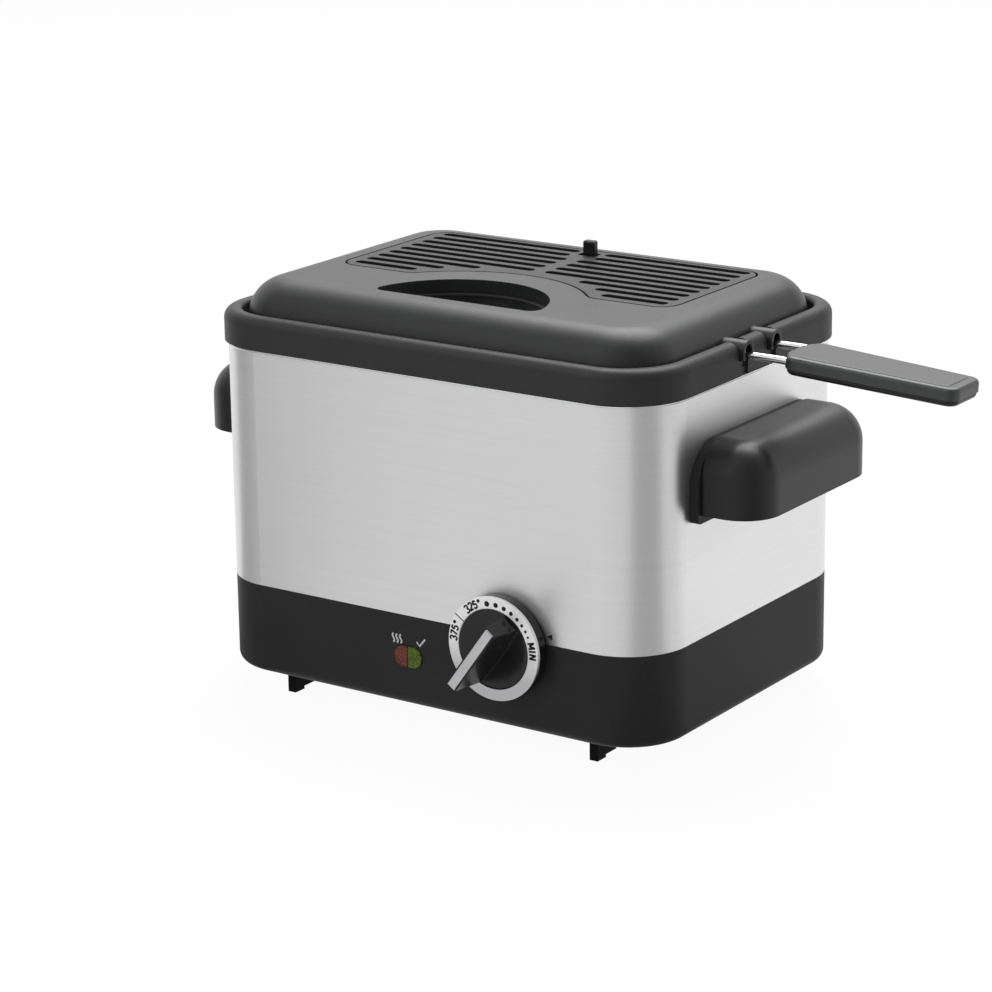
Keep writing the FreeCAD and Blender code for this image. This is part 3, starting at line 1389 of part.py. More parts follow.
def flat_net(width, height, place):
    """A flat sheet of square gaps, centred on its own XY plane and then put in place."""
    gap, pitch, border = number("mesh_gap"), number("mesh_pitch"), number("mesh_border")
    across = int((width - 2 * border + pitch - gap) // pitch)
    along = int((height - 2 * border + pitch - gap) // pitch)
    corner = FreeCAD.Vector(-width / 2, -height / 2, 0)
    panel = Part.makePlane(width, height, corner)
    holes = []
    for i in range(across):
        for j in range(along):
            x = (i - (across - 1) / 2) * pitch - gap / 2
            y = (j - (along - 1) / 2) * pitch - gap / 2
            holes.append(Part.makePlane(gap, gap, FreeCAD.Vector(x, y, 0)).OuterWire)
    face = Part.makeFace([panel.OuterWire, *holes], "Part::FaceMakerBullseye")
    net = face.extrude(FreeCAD.Vector(0, 0, number("mesh_thickness")))
    net.Placement = place
    return net


def make_basket_mesh():
    inset = number("frame_wire / 2 + seat_gap")
    half_x, half_y = number("basket_width / 2") - inset, number("basket_depth / 2") - inset
    corner = number("basket_corner") - inset
    low, high = number("basket_floor_z"), number("basket_rim_z") - inset
    thick = number("mesh_thickness")
    middle, height = (low + high) / 2, high - low
    panels = [flat_net(2 * (half_x - corner), 2 * (half_y - corner),
                       FreeCAD.Placement(FreeCAD.Vector(0, 0, low), FreeCAD.Rotation()))]
    for turn in range(4):
        reach, span = (half_y, 2 * (half_x - corner)) if turn % 2 == 0 else (half_x, 2 * (half_y - corner))
        wall = FreeCAD.Placement(FreeCAD.Vector(0, -reach, middle), FreeCAD.Rotation(FreeCAD.Vector(1, 0, 0), -90))
        around = FreeCAD.Placement(FreeCAD.Vector(), FreeCAD.Rotation(UP, 90 * turn))
        panels.append(flat_net(span, height, around.multiply(wall)))
    for x, y, start in ((1, 1, 0), (-1, 1, 90), (-1, -1, 180), (1, -1, 270)):
        centre = FreeCAD.Vector(x * (half_x - corner), y * (half_y - corner), low)
        outer = Part.makeCylinder(corner, height, centre, UP, 90)
        inner = Part.makeCylinder(corner - thick, height, centre, UP, 90)
        strip = outer.cut(inner)
        strip.rotate(centre, UP, start)
        panels.append(strip)
    keep(gathered("BasketMesh", panels), "basket_mesh")


def make_basket_frame():
    half_x, half_y = number("basket_width / 2"), number("basket_depth / 2")
    corner, wire, hoop = number("basket_corner"), number("frame_wire"), number("hoop_wire")
    top, low = number("basket_rim_z"), number("basket_floor_z - hoop_wire / 2 - seat_gap")
    loop = [FreeCAD.Vector(x, y, top) for x, y in
            ((-half_x, -half_y), (half_x, -half_y), (half_x, half_y), (-half_x, half_y))]
    bars = [tube(loop, corner, wire, closed=True)]
    under = top - wire / 2
    count = int(number("hoop_count"))
    for i in range(count):
        x = (i - (count - 1) / 2) * number("hoop_pitch")
        path = [FreeCAD.Vector(x, y, z) for y, z in
                ((-half_y, under), (-half_y, low), (half_y, low), (half_y, under))]
        bars.append(tube(path, number("hoop_bend"), hoop))
    keep(gathered("BasketFrame", bars), "basket_frame")


def make_handle_wire():
    half, level, reach = number("wire_spacing / 2"), number("wire_z"), number("wire_x")
    slope = math.radians(number("grip_slope"))
    start, embed = number("grip_start"), number("wire_embed")
    foot = level - number("wire_drop")
    end_x, end_z = start + embed * math.cos(slope), level - embed * math.sin(slope)
    leg = [(end_x, end_z), (start, level), (reach, level), (reach, foot)]
    path = [FreeCAD.Vector(x, -half, z) for x, z in leg]
    path += [FreeCAD.Vector(x, half, z) for x, z in reversed(leg)]
    soft, tight = number("wire_soft_bend"), number("wire_bend")
    bends = [soft, tight, tight, tight, tight, soft]
    item = doc.addObject("Part::Feature", "HandleWire")
    item.Shape = tube(path, bends, number("wire_diameter"))
    keep(item, "handle_wire")


def grip_plan(item, inset):
    """The grip seen from above: bulged at the wires, tapered to a rounded tip."""
    half, tip = f"(grip_width / 2 - {inset})", f"(grip_tip_width / 2 - {inset})"
    near_end, far_end = inset, f"grip_length - {inset}"
    shoulder = f"grip_end_bulge + {inset}"
    outline(item, [
        (shoulder, f"-{half}", "grip_tip_radius"),
        (far_end, f"-{tip}", "grip_tip_radius"),
        (far_end, tip, "grip_tip_radius"),
        (shoulder, half, "grip_tip_radius"),
        (near_end, f"{half} / 2", "grip_end_radius"),
        (near_end, f"-{half} / 2", "grip_end_radius"),
    ])


def lay_along_grip(body):
    """Tilt a body modelled along +X so that it follows the grip down from the wires."""
    body.Placement = FreeCAD.Placement(FreeCAD.Vector(), FreeCAD.Rotation(FreeCAD.Vector(0, 1, 0),
                                                                          number("grip_slope")))
    bind(body, "Placement.Base.x", "grip_start")
    bind(body, "Placement.Base.z", "wire_z")
    doc.recompute()


def make_grip():
    parting = "grip_cover - grip_top_thickness"
    top = new_body("GripTop")
    plan = new_sketch(top, XY, parting)
    grip_plan(plan, "0")
    pad(top, plan, "grip_top_thickness")
    fillet(top, at_level("grip_cover"), "grip_edge_radius")
    bores = new_sketch(top, YZ)
    for end in ("-", ""):
        circle(bores, f"{end}wire_spacing / 2", "0", "wire_diameter + 2 * fit_gap")
    pocket(top, bores, "wire_embed + fit_gap", reverse=True)
    thread = new_sketch(top, XY, parting)
    circle(thread, "grip_screw_inset", "0", "grip_screw + 2 * fit_gap")
    pocket(top, thread, "grip_screw_bite + fit_gap", reverse=True)
    lay_along_grip(top)
    keep(top, "grip_top")

    bottom = new_body("GripBottom")
    plan = new_sketch(bottom, XY, parting)
    grip_plan(plan, "grip_step")
    pad(bottom, plan, "grip_bottom_thickness", reverse=True)
    under = f"{parting} - grip_bottom_thickness"
    fillet(bottom, at_level(under), "grip_edge_radius")
    hole = new_sketch(bottom, XY, under)
    circle(hole, "grip_screw_inset", "0", "grip_screw + 2 * fit_gap")
    pocket(bottom, hole, "grip_bottom_thickness", reverse=True)
    sink = new_sketch(bottom, XY, under)
    circle(sink, "grip_screw_inset", "0", "grip_screw_head + 2 * fit_gap")
    pocket(bottom, sink, "grip_screw_head_height", reverse=True)
    lay_along_grip(bottom)
    keep(bottom, "grip_bottom")

    screw = make_screw("GripScrew", "grip_screw", "grip_screw_head", "grip_screw_head_height",
                       "grip_bottom_thickness - grip_screw_head_height + grip_screw_bite")
    tilt = FreeCAD.Placement(FreeCAD.Vector(number("grip_start"), 0, number("wire_z")),
                             FreeCAD.Rotation(FreeCAD.Vector(0, 1, 0), number("grip_slope")))
    spot = FreeCAD.Vector(number("grip_screw_inset"), 0, number(f"{under} + grip_screw_head_height"))
    place = tilt.multiply(FreeCAD.Placement(spot, FreeCAD.Rotation()))
    keep(spread(screw, "GripScrews", [place]), "grip_screw")


make_base_shell()
make_bottom_plate()
make_bottom_screws()
make_feet()
make_housing_wrap()
make_top_bezel()
make_oil_bowl()
make_heating_element()
make_heat_shield()
make_tie_bolts()
make_thermostat()
make_thermal_cutoff()
make_lens("LensRed", "lens_red", keeps_left=True)
make_lens("LensGreen", "lens_green", keeps_left=False)
make_lamps()
make_inlet()
make_handles()
make_dial()
make_lid_shell()
make_window()
make_filter_tray()
make_filter_pad()
make_filter_cover()
make_cover_latch()
make_basket_mesh()
make_basket_frame()
make_handle_wire()
make_grip()

doc.recompute()
failed = [item.Name for item in doc.Objects if {"Invalid", "Error"} & set(item.State)]
if failed:
    raise RuntimeError("failed objects: " + ", ".join(failed))
for item in parts:
    if item.Shape.isNull() or not item.Shape.isValid() or not item.Shape.Solids:
        raise RuntimeError(f"{item.Label} is not a valid solid")
os.makedirs("parts", exist_ok=True)
for item in parts:
    item.Shape.exportStep(f"parts/{item.Label}.step")
    box = item.Shape.optimalBoundingBox()
    print(f"{item.Label}: {len(item.Shape.Solids)} solids, {item.Shape.Volume:.0f} mm3,"
          f" x {box.XMin:.1f} to {box.XMax:.1f}, y {box.YMin:.1f} to {box.YMax:.1f},"
          f" z {box.ZMin:.1f} to {box.ZMax:.1f}")
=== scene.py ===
import json
import math

import bmesh
import bpy
from mathutils import Matrix, Vector
from mathutils.noise import turbulence


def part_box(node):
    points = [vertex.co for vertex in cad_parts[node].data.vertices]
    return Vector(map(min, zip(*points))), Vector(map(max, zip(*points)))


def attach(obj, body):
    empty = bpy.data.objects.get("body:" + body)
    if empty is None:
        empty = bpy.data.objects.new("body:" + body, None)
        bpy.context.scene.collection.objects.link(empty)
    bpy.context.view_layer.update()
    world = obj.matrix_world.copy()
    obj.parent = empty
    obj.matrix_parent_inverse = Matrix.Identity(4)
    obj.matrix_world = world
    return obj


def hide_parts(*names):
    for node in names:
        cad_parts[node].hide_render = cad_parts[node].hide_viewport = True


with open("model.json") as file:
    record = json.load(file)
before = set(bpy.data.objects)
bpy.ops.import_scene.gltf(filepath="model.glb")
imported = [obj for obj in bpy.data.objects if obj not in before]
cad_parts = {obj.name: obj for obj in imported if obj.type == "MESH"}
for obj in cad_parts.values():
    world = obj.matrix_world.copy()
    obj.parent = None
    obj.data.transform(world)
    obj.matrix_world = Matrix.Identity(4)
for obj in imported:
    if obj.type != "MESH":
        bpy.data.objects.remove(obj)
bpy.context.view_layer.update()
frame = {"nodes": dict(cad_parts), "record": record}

scene = bpy.context.scene
MM = 0.001


# shader nodes; their owner is a material or the world

NOISE_LOW = 0.3
NOISE_HIGH = 0.7
BEVEL_SAMPLES = 6


def new_look(name):
    """A material with its main shader."""
    look = bpy.data.materials.new(name)
    look.use_nodes = True
    return look


def shader_of(look):
    """The material's main shader."""
    return look.node_tree.nodes["Principled BSDF"]


def give(owner, socket, value):
    """Link a socket to another node's output, or set its value."""
    if isinstance(value, bpy.types.NodeSocket):
        owner.node_tree.links.new(value, socket)
    else:
        socket.default_value = value


def node(owner, kind, inputs=(), **settings):
    """Add a shader node, set its properties and fill its input sockets by name or number."""
    item = owner.node_tree.nodes.new("ShaderNode" + kind)
    for key, value in settings.items():
        setattr(item, key, value)
    for key, value in dict(inputs).items():
        give(owner, item.inputs[key], value)
    return item


def combine(owner, operation, first, second):
    """The result of a math operation on two values."""
    return node(owner, "Math", {0: first, 1: second}, operation=operation).outputs[0]


def surface(look, **inputs):
    """Fill the sockets of the material's main shader; an underscore stands for a space."""
    for key, value in inputs.items():
        give(look, shader_of(look).inputs[key.replace("_", " ")], value)


def place(look, stretch=(1, 1, 1)):
    """Coordinates in metres that ride with the piece, stretched per axis."""
    coords = node(look, "TexCoord")
    mapped = node(look, "Mapping", {"Vector": coords.outputs["Object"], "Scale": stretch})
    return mapped.outputs["Vector"]


def noise(look, size, detail=2.0, stretch=(1, 1, 1)):
    """Cloudy values between 0 and 1 whose blotches are about one size across."""
    inputs = {"Vector": place(look, stretch), "Scale": 1 / size, "Detail": detail}
    return node(look, "TexNoise", inputs).outputs["Fac"]


def spread(look, value, low=0.0, high=1.0):
    """Carry the values where noise mostly lies to a range."""
    inputs = {"Value": value, "From Min": NOISE_LOW, "From Max": NOISE_HIGH, "To Min": low, "To Max": high}
    return node(look, "MapRange", inputs).outputs["Result"]


def about(look, value, middle, reach):
    """Carry noise to a range about a middle."""
    return spread(look, value, middle - reach, middle + reach)


def mixture(look, first, second, share):
    """Two noises added up, the first with its share of the whole."""
    return combine(look, "ADD", spread(look, first, high=share), spread(look, second, high=1 - share))


def between(look, value, first, second):
    """Blend two colours by a value; the numbers are the blend's sockets for the value and the colours."""
    blend = node(look, "Mix", {0: value, 6: (*first, 1), 7: (*second, 1)}, data_type="RGBA")
    return blend.outputs[2]


def bumped(look, height, depth, edge=0.0):
    """A normal roughened by a height, over edges that are softened by a small radius."""
    inputs = {"Height": height, "Strength": 1.0, "Distance": depth}
    if edge:
        bevel = node(look, "Bevel", {"Radius": edge}, samples=BEVEL_SAMPLES)
        inputs["Normal"] = bevel.outputs["Normal"]
    return node(look, "Bump", inputs).outputs["Normal"]


def tangent_round(look, axis):
    """The direction of brushing or turning round an axis."""
    return node(look, "Tangent", direction_type="RADIAL", axis=axis).outputs["Tangent"]


def shade(colour, factor):
    """A colour made darker or lighter."""
    return tuple(min(1.0, part * factor) for part in colour)


def mottled(look, value, colour, dark, light):
    """A colour that a value carries from a darker to a lighter shade of itself."""
    return between(look, value, shade(colour, dark), shade(colour, light))


# materials

PLASTIC_EDGE = 0.5 * MM
METAL_EDGE = 0.3 * MM
FINE_EDGE = 0.2 * MM
FLOW_MARK = 40 * MM
FLOW_SHARE = 0.6
FINE_STREAK = 0.22 * MM
FINE_STRETCH = (0.006, 0.006, 1)
FINE_SHARE = 0.65
WIDE_STREAK = 1.6 * MM
WIDE_STRETCH = (0.01, 0.01, 1)
STREAK_DEPTH = 0.002 * MM
STEEL_CLOUD = 55 * MM
TARNISH = 12 * MM
TURNED_GRAIN = 0.25 * MM
TURNED_DEPTH = 0.004 * MM
GLASS_WAVE = 30 * MM
GLASS_DEPTH = 0.02 * MM
PRISM = 1.3 * MM
PRISM_DEPTH = 0.25 * MM
STRAND = 0.7 * MM
STRAND_STRETCH = (1, 0.3, 1)
STRAND_DEPTH = 0.4 * MM
INK_GRAIN = 0.3 * MM
INK_DEPTH = 0.003 * MM


def moulded_plastic(name, colour, roughness, grain=0.5 * MM, depth=0.03 * MM, gloss=0.5):
    """Filled plastic with a spark-eroded grain and faint cloudy flow marks."""
    look = new_look(name)
    flow = noise(look, FLOW_MARK, detail=3)
    speck = noise(look, grain, detail=3)
    tone = mixture(look, flow, speck, FLOW_SHARE)
    surface(look, Base_Color=mottled(look, tone, colour, dark=0.88, light=1.12),
            Roughness=about(look, speck, roughness, reach=0.04),
            Normal=bumped(look, speck, depth, PLASTIC_EDGE), Specular_IOR_Level=gloss)
    return look


def brushed_steel(name, colour, roughness):
    """Sheet steel brushed level round the body, with long fine streaks and faint cloudy patches."""
    look = new_look(name)
    fine = noise(look, FINE_STREAK, detail=4, stretch=FINE_STRETCH)
    wide = noise(look, WIDE_STREAK, detail=2, stretch=WIDE_STRETCH)
    cloud = noise(look, STEEL_CLOUD, detail=2)
    streaks = mixture(look, fine, wide, FINE_SHARE)
    surface(look, Base_Color=mottled(look, streaks, colour, dark=0.97, light=1.03),
            Metallic=1.0, Roughness=about(look, cloud, roughness, reach=0.03),
            Anisotropic=0.5, Anisotropic_Rotation=0.25, Tangent=tangent_round(look, "Z"),
            Normal=bumped(look, streaks, STREAK_DEPTH, METAL_EDGE))
    return look


def plain_metal(name, colour, roughness, grain=0.6 * MM, depth=0.01 * MM):
    """Drawn, plated or cast metal with a fine grain and a little tarnish."""
    look = new_look(name)
    grit = noise(look, grain, detail=4)
    cloud = spread(look, noise(look, TARNISH, detail=2))
    surface(look, Base_Color=mottled(look, cloud, colour, dark=0.92, light=1.05),
            Metallic=1.0, Roughness=about(look, grit, roughness, reach=0.15 * roughness),
            Normal=bumped(look, grit, depth, METAL_EDGE))
    return look


def dial_metal(name, bright, grey, level, soft):
    """A turned ring, white where the numbers are printed and satin grey below."""
    look = new_look(name)
    coords = node(look, "TexCoord")
    split = node(look, "SeparateXYZ", {"Vector": coords.outputs["Object"]})
    edge = {"Value": split.outputs["Z"], "From Min": level - soft, "From Max": level + soft}
    upper = node(look, "MapRange", edge).outputs["Result"]
    grit = noise(look, TURNED_GRAIN, detail=3)
    surface(look, Base_Color=between(look, upper, grey, bright),
            Metallic=combine(look, "SUBTRACT", 1.0, upper), Roughness=about(look, grit, 0.3, reach=0.04),
            Anisotropic=0.8, Tangent=tangent_round(look, "Y"),
            Normal=bumped(look, grit, TURNED_DEPTH, FINE_EDGE))
    return look


def clear_glass(name, colour):
    """Toughened glass with a trace of unevenness."""
    look = new_look(name)
    wave = noise(look, GLASS_WAVE, detail=1)
    surface(look, Base_Color=mottled(look, wave, colour, dark=0.97, light=1.0),
            Transmission_Weight=1.0, IOR=1.5, Roughness=about(look, wave, 0.02, reach=0.01),
            Normal=bumped(look, wave, GLASS_DEPTH))
    return look


def lens_plastic(name, colour):
    """Tinted translucent plastic with the cross-cut prisms of an indicator lens."""
    look = new_look(name)
    cells = node(look, "TexVoronoi", {"Vector": place(look), "Scale": 1 / PRISM}, distance="MANHATTAN")
    depth = cells.outputs["Distance"]
    surface(look, Base_Color=mottled(look, depth, colour, dark=0.55, light=1.3),
            Roughness=0.24, Specular_IOR_Level=0.12, Transmission_Weight=0.2,
            Coat_Weight=0.05, Coat_Roughness=0.12,
            Normal=bumped(look, depth, PRISM_DEPTH, FINE_EDGE))
    return look


def fibre(name, colour):
    """Needled filter fibre."""
    look = new_look(name)
    strands = noise(look, STRAND, detail=6, stretch=STRAND_STRETCH)
    surface(look, Base_Color=mottled(look, spread(look, strands), colour, dark=0.5, light=1.4),
            Roughness=0.95, Sheen_Weight=0.3, Normal=bumped(look, strands, STRAND_DEPTH))
    return look


def ink(name, colour):
    """Pad-printed ink with a slightly uneven film."""
    look = new_look(name)
    film = noise(look, INK_GRAIN, detail=3)
    surface(look, Base_Color=mottled(look, film, colour, dark=0.9, light=1.1),
            Roughness=about(look, film, 0.45, reach=0.05), Specular_IOR_Level=0.15,
            Normal=bumped(look, film, INK_DEPTH))
    return look


# one look for each material slot of the record, by name, colour, roughness and what else sets it apart
LOOKS = {
    "base_plastic": moulded_plastic("satin black base", (0.018, 0.018, 0.0184), 0.5,
                                    grain=0.45 * MM, gloss=0.16),
    "bezel_plastic": moulded_plastic("satin black rim", (0.026, 0.026, 0.0265), 0.46,
                                     grain=0.45 * MM, gloss=0.2),
    "lid_plastic": moulded_plastic("textured black lid", (0.013, 0.0136, 0.0144), 0.37,
                                   grain=0.4 * MM, depth=0.08 * MM, gloss=0.36),
    "handle_plastic": moulded_plastic("satin black handles", (0.006, 0.0061, 0.0063), 0.36,
                                      grain=0.45 * MM, gloss=0.36),
    "control_plastic": moulded_plastic("thermoset", (0.35, 0.3, 0.22), 0.55),
    "knob_plastic": moulded_plastic("gloss black knob", (0.009, 0.009, 0.0095), 0.22,
                                    grain=0.8 * MM, depth=0.0005 * MM, gloss=0.35),
    "seal_rubber": moulded_plastic("black seal", (0.02, 0.02, 0.02), 0.7),
    "steel": brushed_steel("brushed steel sleeve", (0.74, 0.742, 0.742), 0.38),
    "bowl_metal": plain_metal("drawn aluminium bowl", (0.45, 0.45, 0.44), 0.42),
    "sheet_metal": plain_metal("plain sheet", (0.62, 0.63, 0.64), 0.38),
    "heater_metal": plain_metal("oxidised heater", (0.2, 0.18, 0.17), 0.5),
    "fastener_steel": plain_metal("zinc plated screws", (0.6, 0.6, 0.58), 0.32),
    "pin_brass": plain_metal("brass pins", (0.68, 0.5, 0.2), 0.28),
    "bright_chrome": plain_metal("bright chrome", (0.84, 0.84, 0.85), 0.14, depth=0.0003 * MM),
    "mesh_steel": plain_metal("tinned wire", (0.7, 0.7, 0.69), 0.24),
    "ring_metal": dial_metal("printed dial ring", (0.97, 0.97, 0.97), (0.52, 0.52, 0.53),
                             level=44 * MM, soft=8 * MM),
    "pane": clear_glass("window glass", (0.5, 0.55, 0.57)),
    "lamp_glass": clear_glass("lamp glass", (0.95, 0.9, 0.8)),
    "red_lens": lens_plastic("red lens", (0.17, 0.035, 0.018)),
    "green_lens": lens_plastic("green lens", (0.085, 0.14, 0.008)),
    "filter_fibre": fibre("charcoal filter", (0.02, 0.02, 0.02)),
}

GRIP_LOOK = moulded_plastic("textured grip", (0.03, 0.031, 0.032), 0.36, gloss=0.52)
BLACK_INK = ink("black ink", (0.012, 0.012, 0.012))
GREY_INK = ink("pale grey ink", (0.62, 0.62, 0.62))

# nodes whose finish differs from their slot's
NODE_LOOKS = {
    "feet": moulded_plastic("black feet", (0.004, 0.004, 0.004), 0.6, gloss=0.06),
    "filter_cover": moulded_plastic("textured black grille", (0.013, 0.0134, 0.014), 0.42,
                                    grain=0.6 * MM, depth=0.04 * MM, gloss=0.26),
    "grip_top": GRIP_LOOK,
    "knob_strip": plain_metal("satin strip", (0.56, 0.56, 0.57), 0.3,
                              grain=0.2 * MM, depth=0.002 * MM),
}


def dress_nodes():
    """Give each CAD node its look."""
    for entry in frame["record"]["subparts"]:
        mesh = frame["nodes"][entry["node"]].data
        mesh.materials.clear()
        mesh.materials.append(NODE_LOOKS.get(entry["node"], LOOKS[entry["material_slot"]]))


# meshes

PRINT_FILM = 0.04 * MM
FACING_FRONT = Matrix.Rotation(math.radians(90), 4, "X")
FACING_RIGHT = Matrix.Rotation(math.radians(90), 4, "Z") @ FACING_FRONT
WIRE_SIDES = 5
WIRE_ANGLES = [2 * math.pi * i / WIRE_SIDES for i in range(WIRE_SIDES)]


def mesh_of(bm, name):
    """A named mesh made of what was built."""
    mesh = bpy.data.meshes.new(name)
    bm.to_mesh(mesh)
    bm.free()
    return mesh


def add_object(name, data):
    """Put an object in the scene."""
    item = bpy.data.objects.new(name, data)
    scene.collection.objects.link(item)
    return item


def finish_piece(mesh, look, body, smooth=False):
    """Make a piece of a mesh, with a look and a body to ride on."""
    mesh.materials.clear()
    mesh.materials.append(look)
    if smooth:
        mesh.shade_smooth()
    piece = add_object(mesh.name, mesh)
    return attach(piece, body)


def bridge(bm, first, second, closed=True):
    """Faces between two rows of points, which are loops unless said otherwise."""
    count = len(first)
    for i in range(count if closed else count - 1):
        j = (i + 1) % count
        bm.faces.new((first[i], first[j], second[j], second[i]))


def add_plate(bm, outline, matrix, thickness=PRINT_FILM):
    """A thin flat shape with an outline given in its own plane."""
    low = [bm.verts.new(matrix @ Vector((x, y, -thickness / 2))) for x, y in outline]
    high = [bm.verts.new(matrix @ Vector((x, y, thickness / 2))) for x, y in outline]
    bm.faces.new(low[::-1])
    bm.faces.new(high)
    bridge(bm, low, high)


def ribbon(line, width):
    """The outline of a stroke of even width along a line of points."""
    left = []
    right = []
    for i, point in enumerate(line):
        before = line[max(0, i - 1)]
        after = line[min(len(line) - 1, i + 1)]
        along = (Vector(after) - Vector(before)).normalized()
        side = Vector((-along.y, along.x)) * width / 2
        left.append(tuple(Vector(point) + side))
        right.append(tuple(Vector(point) - side))
    return right + left[::-1]


def arc(x, y, radius_x, radius_y, start, end, steps=9):
    """Points on part of an ellipse, by angles in degrees."""
    angles = [math.radians(start + (end - start) * i / (steps - 1)) for i in range(steps)]
    return [(x + radius_x * math.cos(a), y + radius_y * math.sin(a)) for a in angles]


def rectangle(half_x, half_y):
    """The corners of a rectangle about the middle."""
    return [(-half_x, -half_y), (half_x, -half_y), (half_x, half_y), (-half_x, half_y)]


def rounded(corners, radius, steps=6):
    """A closed outline with every corner rounded."""
    line = []
    for i, corner in enumerate(corners):
        spot = Vector(corner)
        back = (Vector(corners[i - 1]) - spot).normalized()
        ahead = (Vector(corners[(i + 1) % len(corners)]) - spot).normalized()
        half = back.angle(ahead) / 2
        middle = (back + ahead).normalized()
        centre = spot + middle * radius / math.sin(half)
        first = spot + back * radius / math.tan(half) - centre
        last = spot + ahead * radius / math.tan(half) - centre
        for k in range(steps + 1):
            arm = first.lerp(last, k / steps).normalized() * radius
            line.append(tuple(centre + arm))
    return line


def sweep(bm, points, radius, closed=False):
    """A round wire along a line of points."""
    count = len(points)
    rings = []
    side = None
    for i, point in enumerate(points):
        before = points[i - 1] if closed or i else point
        after = points[(i + 1) % count] if closed or i + 1 < count else point
        along = (after - before).normalized()
        if side is None:
            side = along.orthogonal()
        side = (side - along * side.dot(along)).normalized()
        across = along.cross(side)
        arms = [math.cos(a) * side + math.sin(a) * across for a in WIRE_ANGLES]
        rings.append([bm.verts.new(point + radius * arm) for arm in arms])
    for i in range(count if closed else count - 1):
        bridge(bm, rings[i], rings[(i + 1) % count])
    if not closed:
        bm.faces.new(rings[0][::-1])
        bm.faces.new(rings[-1])


# printed marks

# strokes of the printed characters in a box one unit high about its middle
STROKES = {
    "2": [arc(0, 0.24, 0.25, 0.26, 165, -30) + [(-0.25, -0.47)],
          [(-0.28, -0.43), (0.27, -0.43)]],
    "3": [arc(0, 0.24, 0.24, 0.24, 160, -90),
          arc(0, -0.24, 0.27, 0.25, 90, -160)],
    "5": [[(-0.22, 0.45), (0.22, 0.45)],
          [(-0.19, 0.48), (-0.22, 0.0)],
          arc(0, -0.17, 0.26, 0.28, 135, -155)],
    "7": [[(-0.26, 0.44), (0.26, 0.44)],
          [(0.22, 0.46), (-0.08, -0.5)]],
    "°": [arc(-0.06, 0.34, 0.11, 0.11, 0, 360, 13)],
    "M": [[(-0.32, -0.5), (-0.32, 0.5)],
          [(0.32, -0.5), (0.32, 0.5)],
          [(-0.32, 0.46), (0, -0.3)],
          [(0, -0.3), (0.32, 0.46)]],
    "I": [[(0, -0.5), (0, 0.5)]],
    "N": [[(-0.26, -0.5), (-0.26, 0.5)],
          [(0.26, -0.5), (0.26, 0.5)],
          [(-0.26, 0.46), (0.26, -0.46)]],
}
# a stroke's width is in letter heights, and angles are in degrees round the dial from its right side
STROKE_WIDTH = 0.25
LETTER_HEIGHT = 3.4 * MM
LETTER_STEP = 6.9
WORDS = {"325°": 119.5, "375°": 165.5, "MIN": 7}
RING_BAND = 5.2 * MM
DOT_ANGLES = [98, 85, 72.8, 61.4, 50.8, 41.2, 32.6, 25]
DOT_LARGE = 1.2 * MM
DOT_SMALL = 0.55 * MM
DOT_SHIFT = 0.4 * MM
DOT_SIDES = 24
DIVIDER_ANGLE = 146.5
DIVIDER_WIDTH = 0.5 * MM
POINTER_SIZE = 1.3 * MM
POINTER_GAP = 0.6 * MM
POINTER_RISE = 7.2 * MM
SIGN_RISE = 2.6 * MM
SIGN_STROKE = 0.75 * MM
WAVE_INSET = 1.2 * MM
WAVE_SPACING = 1.9 * MM
WAVE_SWING = 0.5 * MM
WAVE_HEIGHT = 4 * MM
WAVE_STEPS = 8
TICK_INSET = 0.6 * MM
TICK = [(-2.1 * MM, 0.1 * MM), (-0.6 * MM, -1.6 * MM), (2.3 * MM, 1.9 * MM)]


def add_letter(bm, letter, height, matrix):
    """A bold printed character made of strokes."""
    for stroke in STROKES[letter]:
        line = [(x * height, y * height) for x, y in stroke]
        add_plate(bm, ribbon(line, STROKE_WIDTH * height), matrix)


def dial_marks():
    """Numbers, shrinking dots and a divider round the dial's ring."""
    low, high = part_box("dial_ring")
    centre = Vector(((low.x + high.x) / 2, low.y - PRINT_FILM / 2, (low.z + high.z) / 2))
    middle = (high.x - low.x) / 2 - RING_BAND / 2
    bm = bmesh.new()

    def spot(angle, radius):
        """A place on the ring that faces the front, its top outwards."""
        turn = Matrix.Rotation(math.radians(angle - 90), 4, "Z")
        return Matrix.Translation(centre) @ FACING_FRONT @ turn @ Matrix.Translation((0, radius, 0))

    for text, angle in WORDS.items():
        for i, letter in enumerate(text):
            shift = (len(text) - 1) / 2 - i
            add_letter(bm, letter, LETTER_HEIGHT, spot(angle + shift * LETTER_STEP, middle))
    for i, angle in enumerate(DOT_ANGLES):
        radius = DOT_LARGE + (DOT_SMALL - DOT_LARGE) * i / (len(DOT_ANGLES) - 1)
        circle = arc(0, 0, radius, radius, 0, 360, DOT_SIDES + 1)[:-1]
        add_plate(bm, circle, spot(angle, middle - DOT_SHIFT))
    add_plate(bm, rectangle(DIVIDER_WIDTH / 2, RING_BAND / 2), spot(DIVIDER_ANGLE, middle))
    finish_piece(mesh_of(bm, "dial_marks"), BLACK_INK, "dial")


def on_front(x, z):
    """A place on the front wall, turned to face the front."""
    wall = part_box("base_shell")[0].y
    return Matrix.Translation((x, wall - PRINT_FILM / 2, z)) @ FACING_FRONT


def pointer_mark():
    """A plain triangle on the steel that the dial is read against."""
    low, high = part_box("dial_ring")
    size = POINTER_SIZE
    spot = on_front(high.x + POINTER_GAP, (low.z + high.z) / 2 + POINTER_RISE)
    bm = bmesh.new()
    add_plate(bm, [(-size, 0), (size, -size), (size, size)], spot)
    finish_piece(mesh_of(bm, "pointer_mark"), BLACK_INK, "fryer")


